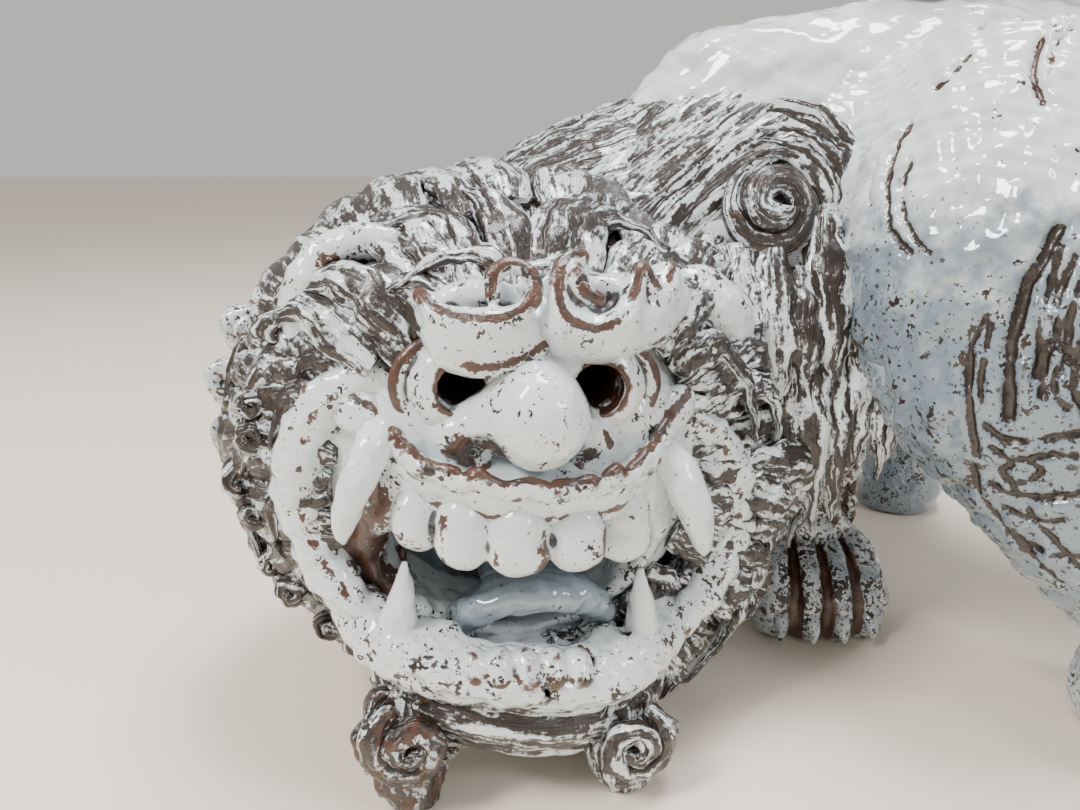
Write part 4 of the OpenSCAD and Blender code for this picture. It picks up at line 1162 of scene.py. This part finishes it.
def back_lock(x0, x1, turn0, turn1, wide, seed, lift=(2.0, 6.0), grooves=8, depth=1.1, flat=0.5, hook=0.0):
    s = np.linspace(0, 1, 10)
    x = x0 + (x1 - x0) * s
    turn = turn0 + (turn1 - turn0) * s ** 1.4 + hook * np.clip(s - 0.65, 0, 1) ** 2 * 8
    rise = lift[0] + (lift[1] - lift[0]) * np.sin(s * math.pi * 0.95) - 1.5 * s ** 3
    at, middle = on_back(x, turn, rise)
    width = wide * (0.6 + 0.5 * np.sin(math.pi * s ** 0.8)) * (1 - 0.80 * s ** 6)
    path = np.concatenate([at, width[:, None]], 1)
    out = smooth_path(at - middle, max(int(46 / FINE), 12))
    return comb(path, turns_around=28, along=46, grooves=grooves, depth=depth, flat=flat, face=out, seed=seed, twist=0.4, ragged=0.9)


base = Clay((-126, -70, 66), (20, 86, 226), 1.9)
base.roll([(-84, -14, 118, 57), (-58, 4, 140, 61), (-34, 10, 154, 57.5), (-14, 10, 164, 55)], 4, count=20)
hollow = Clay((-126, -70, 66), (20, 86, 226), 1.9)
hollow.roll(SPINE - [0, 0, 0, 4], 1, count=32)
base.f = np.maximum(base.f, -hollow.f)
base.lump(HEAD - BODY + [0, 0, 97], (79, 79, 79), 1, carve=True)
points, quads = net(base.f, base.axes)
del base, hollow
normal = normals_of(points, quads)
angle = np.degrees(np.arctan2(-(points[:, 1] - 8), points[:, 2] - 130 - (points[:, 0] + 84) * 0.45))
comb_wave = np.abs(np.sin(np.radians(angle) * 21 + wobble(points, 38, 81) * 2.6 + points[:, 0] * 0.02))
comb_line = np.clip(1 - comb_wave ** 0.55, 0, 1)
points = points - normal * (comb_line * 1.5)[:, None] + normal * (0.7 * wobble(points, 13, 82))[:, None]

def reach(turn, far, near):
    """How far back the hair goes: to `near` on the ridge of the back, to `far` down on the flanks."""
    u = min(max((abs(turn - 4) - 12) / 34, 0), 1)
    return near + (far - near) * u * u * (3 - 2 * u)


rng = np.random.default_rng(90)
locks = []
for i, turn in enumerate(np.linspace(-88, 92, 16)):
    j = rng.normal(size=4)
    x1 = reach(turn, 12, -46) + 4 * j[1]
    locks.append(back_lock(min(-58, x1 - 34) + 3 * j[0], x1, turn * 0.94 + 3 * j[2], turn * 0.76 - 8, 7.6, 200 + i, lift=(1.0, 3.4)))
for i, turn in enumerate(np.linspace(-92, 96, 17)):
    j = rng.normal(size=4)
    x1 = reach(turn, -10, -56) + 5 * j[1]
    locks.append(back_lock(min(-70, x1 - 30) + 3 * j[0], x1, turn + 3 * j[2], turn * 0.86 - 8, 7.2, 230 + i, lift=(3.5, 6.5)))
for i, turn in enumerate(np.linspace(-84, 90, 15)):
    j = rng.normal(size=4)
    locks.append(back_lock(-86 + 3 * j[0], reach(turn, -36, -62) + 4 * j[1], turn + 3 * j[2], turn * 0.9 - 6, 6.8, 260 + i, lift=(9, 11)))
lock_points, lock_quads, lock_groove, lock_strand = join_rolls(locks)
t = np.radians(angle)
strand = np.vstack([np.stack([62 * np.sin(t), 62 * np.cos(t), points[:, 0] * 0.1], 1), lock_strand])
points = np.vstack([points, lock_points])
quads = np.vstack([quads, lock_quads + len(comb_line)])
groove = np.concatenate([comb_line, lock_groove])
make_piece("mane_mantle", points, quads, "mane", shift=BODY, groove=groove, strand=strand)


# %% Spiral curls on the shoulders, and the hair below them
def spiral(at, big, tube, turns, facing, seed, rise=6.0, hand=1, start=0.0, grooves=6):
    """A roll wound inwards in a plane: radius shrinks evenly with the angle, and the middle stands proud."""
    facing = np.asarray(facing, float) / np.linalg.norm(facing)
    u = np.cross([0, 0, 1.0], facing)
    u /= np.linalg.norm(u)
    v = np.cross(facing, u)
    s = np.linspace(0, 1, 26)
    w = start + hand * turns * 2 * math.pi * s
    r = big * (1 - 0.80 * s)
    c = np.asarray(at, float) + r[:, None] * (np.cos(w)[:, None] * u + np.sin(w)[:, None] * v) + (rise * s ** 1.5)[:, None] * facing
    tubes = tube * (0.35 + 0.75 * np.clip(s * 4, 0, 1)) * (1 - 0.25 * s)
    return comb(np.concatenate([c, tubes[:, None]], 1), turns_around=30, along=100, grooves=grooves, depth=0.8, flat=0.85,
                face=facing, seed=seed, ragged=0.6)


body_comb("shoulder_curl_left", [spiral((-4, -55, 172), 14.5, 5.8, 1.6, (0.15, -1, 0.35), 7, 6, 1, 2.2)], "dark", seed=76)
body_comb("shoulder_curl_right", [spiral((-12, 68, 170), 14.5, 5.8, 1.6, (0.1, 1, 0.35), 8, 6, -1, 2.2)], "dark", seed=77)


def hanging(x, y0, z0, z1, wide, seed, side, drift=8.0, out=9.0):
    """A lock that hangs on the shoulder or chest: it bows outwards and drifts back as it falls."""
    s = np.linspace(0, 1, 8)
    path = np.stack([x + drift * s ** 1.5, y0 + side * out * np.sin(s * math.pi * 0.8), z0 + (z1 - z0) * s,
                     wide * (0.55 + 0.6 * np.sin(math.pi * s ** 0.8)) * (1 - 0.88 * s ** 3)], 1)
    return comb(path, along=46, grooves=7, depth=1.0, flat=0.6, face=(0, side, 0.1), seed=seed, twist=0.5)


for side, name in ((1, "left"), (-1, "right")):
    near = -side
    top = np.array([16, -34, 150.0]) if side > 0 else np.array([-52, 40, 128.0])
    rng = np.random.default_rng(300 + side)
    rolls = []
    for k in range(9):
        j = rng.normal(size=4)
        rolls.append(hanging(top[0] - 40 + 9.5 * k, top[1] + near * (24 + 3 * math.sin(k * 0.9)), top[2] + 14 + 3 * j[0] - abs(k - 4),
                             top[2] - 46 + 6 * j[1], 7.0 + j[2], 310 + k, near, 7 + 3 * j[3], 11))
    for k in range(8):
        j = rng.normal(size=4)
        rolls.append(hanging(top[0] - 36 + 9.5 * k, top[1] + near * (25 + 3 * math.sin(k * 0.8)), top[2] - 16 + 3 * j[0],
                             top[2] - 84 + 6 * j[1] + 3 * abs(k - 3), 7.0 + j[2], 330 + k, near, 6 + 3 * j[3], 9))
    if side > 0:
        for k in range(5):
            r = 18.5 + 4.2 * k
            turn = np.linspace(-0.9 + 0.1 * k, 2.0 - 0.12 * k, 9)
            path = np.stack([-4 + r * np.cos(turn), -53.5 + 0.5 * k + 0.12 * r * np.sin(turn), 171 + r * np.sin(turn),
                             (3.2 - 0.2 * k) * np.sin(np.linspace(0.3, math.pi - 0.15, 9))], 1)
            rolls.append(comb(path, turns_around=24, along=50, grooves=3, depth=0.6, flat=0.6, face=(0.2, -1, 0.4), seed=380 + k))
    body_comb(f"shoulder_locks_{name}", rolls, "mane", seed=78 + side, lumpy=0.8)


# %% Tufts on the hind shanks
def tuft(side):
    out = -side
    foot = np.array([128, -104, 0.0]) if side > 0 else np.array([122, 104, 0.0])
    rolls = []
    for k in range(7):
        y = foot[1] - out * 20 + (k - 3) * 6.5
        path = [[foot[0] - 24, y, 122 - abs(k - 3) * 4, 4.5], [foot[0] - 12, y - out, 104, 6.6],
                [foot[0] - 3, y, 84, 6.2], [foot[0] + 14, y + out * 2, 62 + 4 * (k % 3), 1.0]]
        rolls.append(comb(path, along=44, grooves=6, depth=1.0, flat=0.65, face=(1, 0, 0.2), seed=340 + k))
    return rolls


body_comb("hind_tuft_left", tuft(1), "dark", seed=84)
body_comb("hind_tuft_right", tuft(-1), "dark", seed=85)

# %% Tail: a thick stem that rises from the rump and curls forwards over the back, with a plume of locks
TAIL = np.array([(136, -2, 196, 20), (154, -1, 214, 22.5), (164, 0, 240, 23.5), (152, -2, 266, 24), (124, -4, 281, 23),
                 (92, -6, 277, 18)], float)
tail = Clay((84, -34, 186), (196, 32, 312), 1.6)
tail.roll(TAIL, 2, count=26)
thin_body = Clay((84, -34, 186), (196, 32, 312), 1.6)
thin_body.roll(SPINE - [0, 0, 0, 0.8], 1, count=32)
tail_own = tail.f.copy()
tail._blend((slice(None),) * 3, thin_body.f, 24, False)
tail.f = np.maximum(np.maximum(tail.f, tail_own - 16), -(thin_body.f + 5))
body_piece("tail_root", tail, "white", lumpy=1.0, seed=35)

line = smooth_path(TAIL, 60)
rolls = []
for side in (-1, 1):
    for k in range(6):
        c = line[14 + 7 * k]
        way = line[min(14 + 7 * k + 5, 59), :3] - c[:3]
        way /= np.linalg.norm(way)
        up = np.cross(way, [0, 1.0, 0])
        away = up * (1 if up @ (c[:3] - [112, 0, 232]) > 0 else -1)
        start = c[:3] + away * c[3] * 0.55 + [0, side * c[3] * 0.55, 0] - 14 * way
        path = [[*start, 6], [*(start + 14 * way + away * 7 + [0, side * 4, 0]), 9.5],
                [*(start + 32 * way + away * 9 + [0, side * 6, 0]), 8.2], [*(start + 50 * way + away * 7 + [0, side * 5, 0]), 1.0]]
        rolls.append(comb(path, along=46, grooves=7, depth=1.1, flat=0.62, face=away + [0, side * 0.5, 0], seed=360 + k))
body_comb("tail_plume", rolls, "mane", seed=86)
body_comb("tail_curl", [spiral((58, -19, 262), 20, 8.5, 1.5, (0, -1, 0.0), 9, 5, 1, 1.2, 8),
                        spiral((58, 7, 262), 20, 8.5, 1.5, (0, 1, 0.0), 10, 5, -1, 1.9, 8),
                        comb([(96, -6, 278, 16), (80, -6, 276, 17), (64, -6, 266, 17), (54, -6, 252, 8)], along=60, grooves=10,
                             depth=1.0, flat=0.9, face=(0, -1, 0), seed=370)], "white", seed=87)

# %% [markdown]
# ## Stage, light and camera
# A wide pale floor under a pale sky, soft light from large panels that show as bright windows in the
# glaze, and a camera just above the figure's head that looks down at its face.

# %% Stage
FLOOR_HALF = 8.0                       # metres from the middle of the floor to its edge
FLOOR_DROP = 0.0003                    # metres that the floor lies under the paws


def flat_floor():
    """A square whose corners are at plus and minus FLOOR_HALF."""
    x, y = FLOOR_HALF * np.array([-1, 1, 1, -1]), FLOOR_HALF * np.array([-1, -1, 1, 1])
    return np.stack([x, y, np.full(4, -FLOOR_DROP)], 1), [[0, 1, 2, 3]]


corners, square = flat_floor()
mesh = bpy.data.meshes.new("stage")
mesh.from_pydata(corners.tolist(), [], square)
stage = bpy.data.objects.new("stage", mesh)
bpy.context.scene.collection.objects.link(stage)
paper = bpy.data.materials.new("pale_paper")
paper.use_nodes = True
paper.node_tree.nodes["Principled BSDF"].inputs["Base Color"].default_value = (0.90, 0.80, 0.67, 1)
paper.node_tree.nodes["Principled BSDF"].inputs["Roughness"].default_value = 0.55
mesh.materials.append(paper)


# %% Lights
def panel(name, at, aim, size, power, colour=(1, 1, 1)):
    data = bpy.data.lights.new(name, "AREA")
    data.shape, data.size, data.size_y = "RECTANGLE", size[0], size[1]
    data.energy, data.color = power, colour
    lamp = bpy.data.objects.new(name, data)
    lamp.location = at
    lamp.rotation_euler = (Vector(aim) - Vector(at)).to_track_quat("-Z", "Y").to_euler()
    bpy.context.scene.collection.objects.link(lamp)
    return lamp


panel("window_left", (-0.75, -0.55, 1.05), (-0.05, -0.02, 0.12), (0.30, 0.45), 17, (1.0, 0.98, 0.95))
panel("window_above", (0.10, 0.02, 1.30), (0.0, 0.0, 0.12), (0.5, 0.4), 16, (0.97, 0.98, 1.0))
panel("window_right", (0.9, -0.75, 0.80), (0.0, 0.0, 0.12), (0.25, 0.35), 4.5, (0.95, 0.98, 1.0))
world = bpy.data.worlds.new("room")
world.use_nodes = True
world.node_tree.nodes["Background"].inputs[0].default_value = (0.98, 0.96, 0.93, 1)
world.node_tree.nodes["Background"].inputs[1].default_value = 0.62
bpy.context.scene.world = world

# %% Camera
data = bpy.data.cameras.new("camera")
data.sensor_width, data.lens = 36.0, 27.05
data.clip_start = 0.01
camera = bpy.data.objects.new("camera", data)
skull_at = centre("skull") * MM
camera.location = (skull_at[0] + 0.015, skull_at[1] - 0.2683, skull_at[2] + 0.091)
camera.rotation_euler = (math.radians(90 - 17), 0, 0)
bpy.context.scene.collection.objects.link(camera)
bpy.context.scene.camera = camera
bpy.context.view_layer.update()
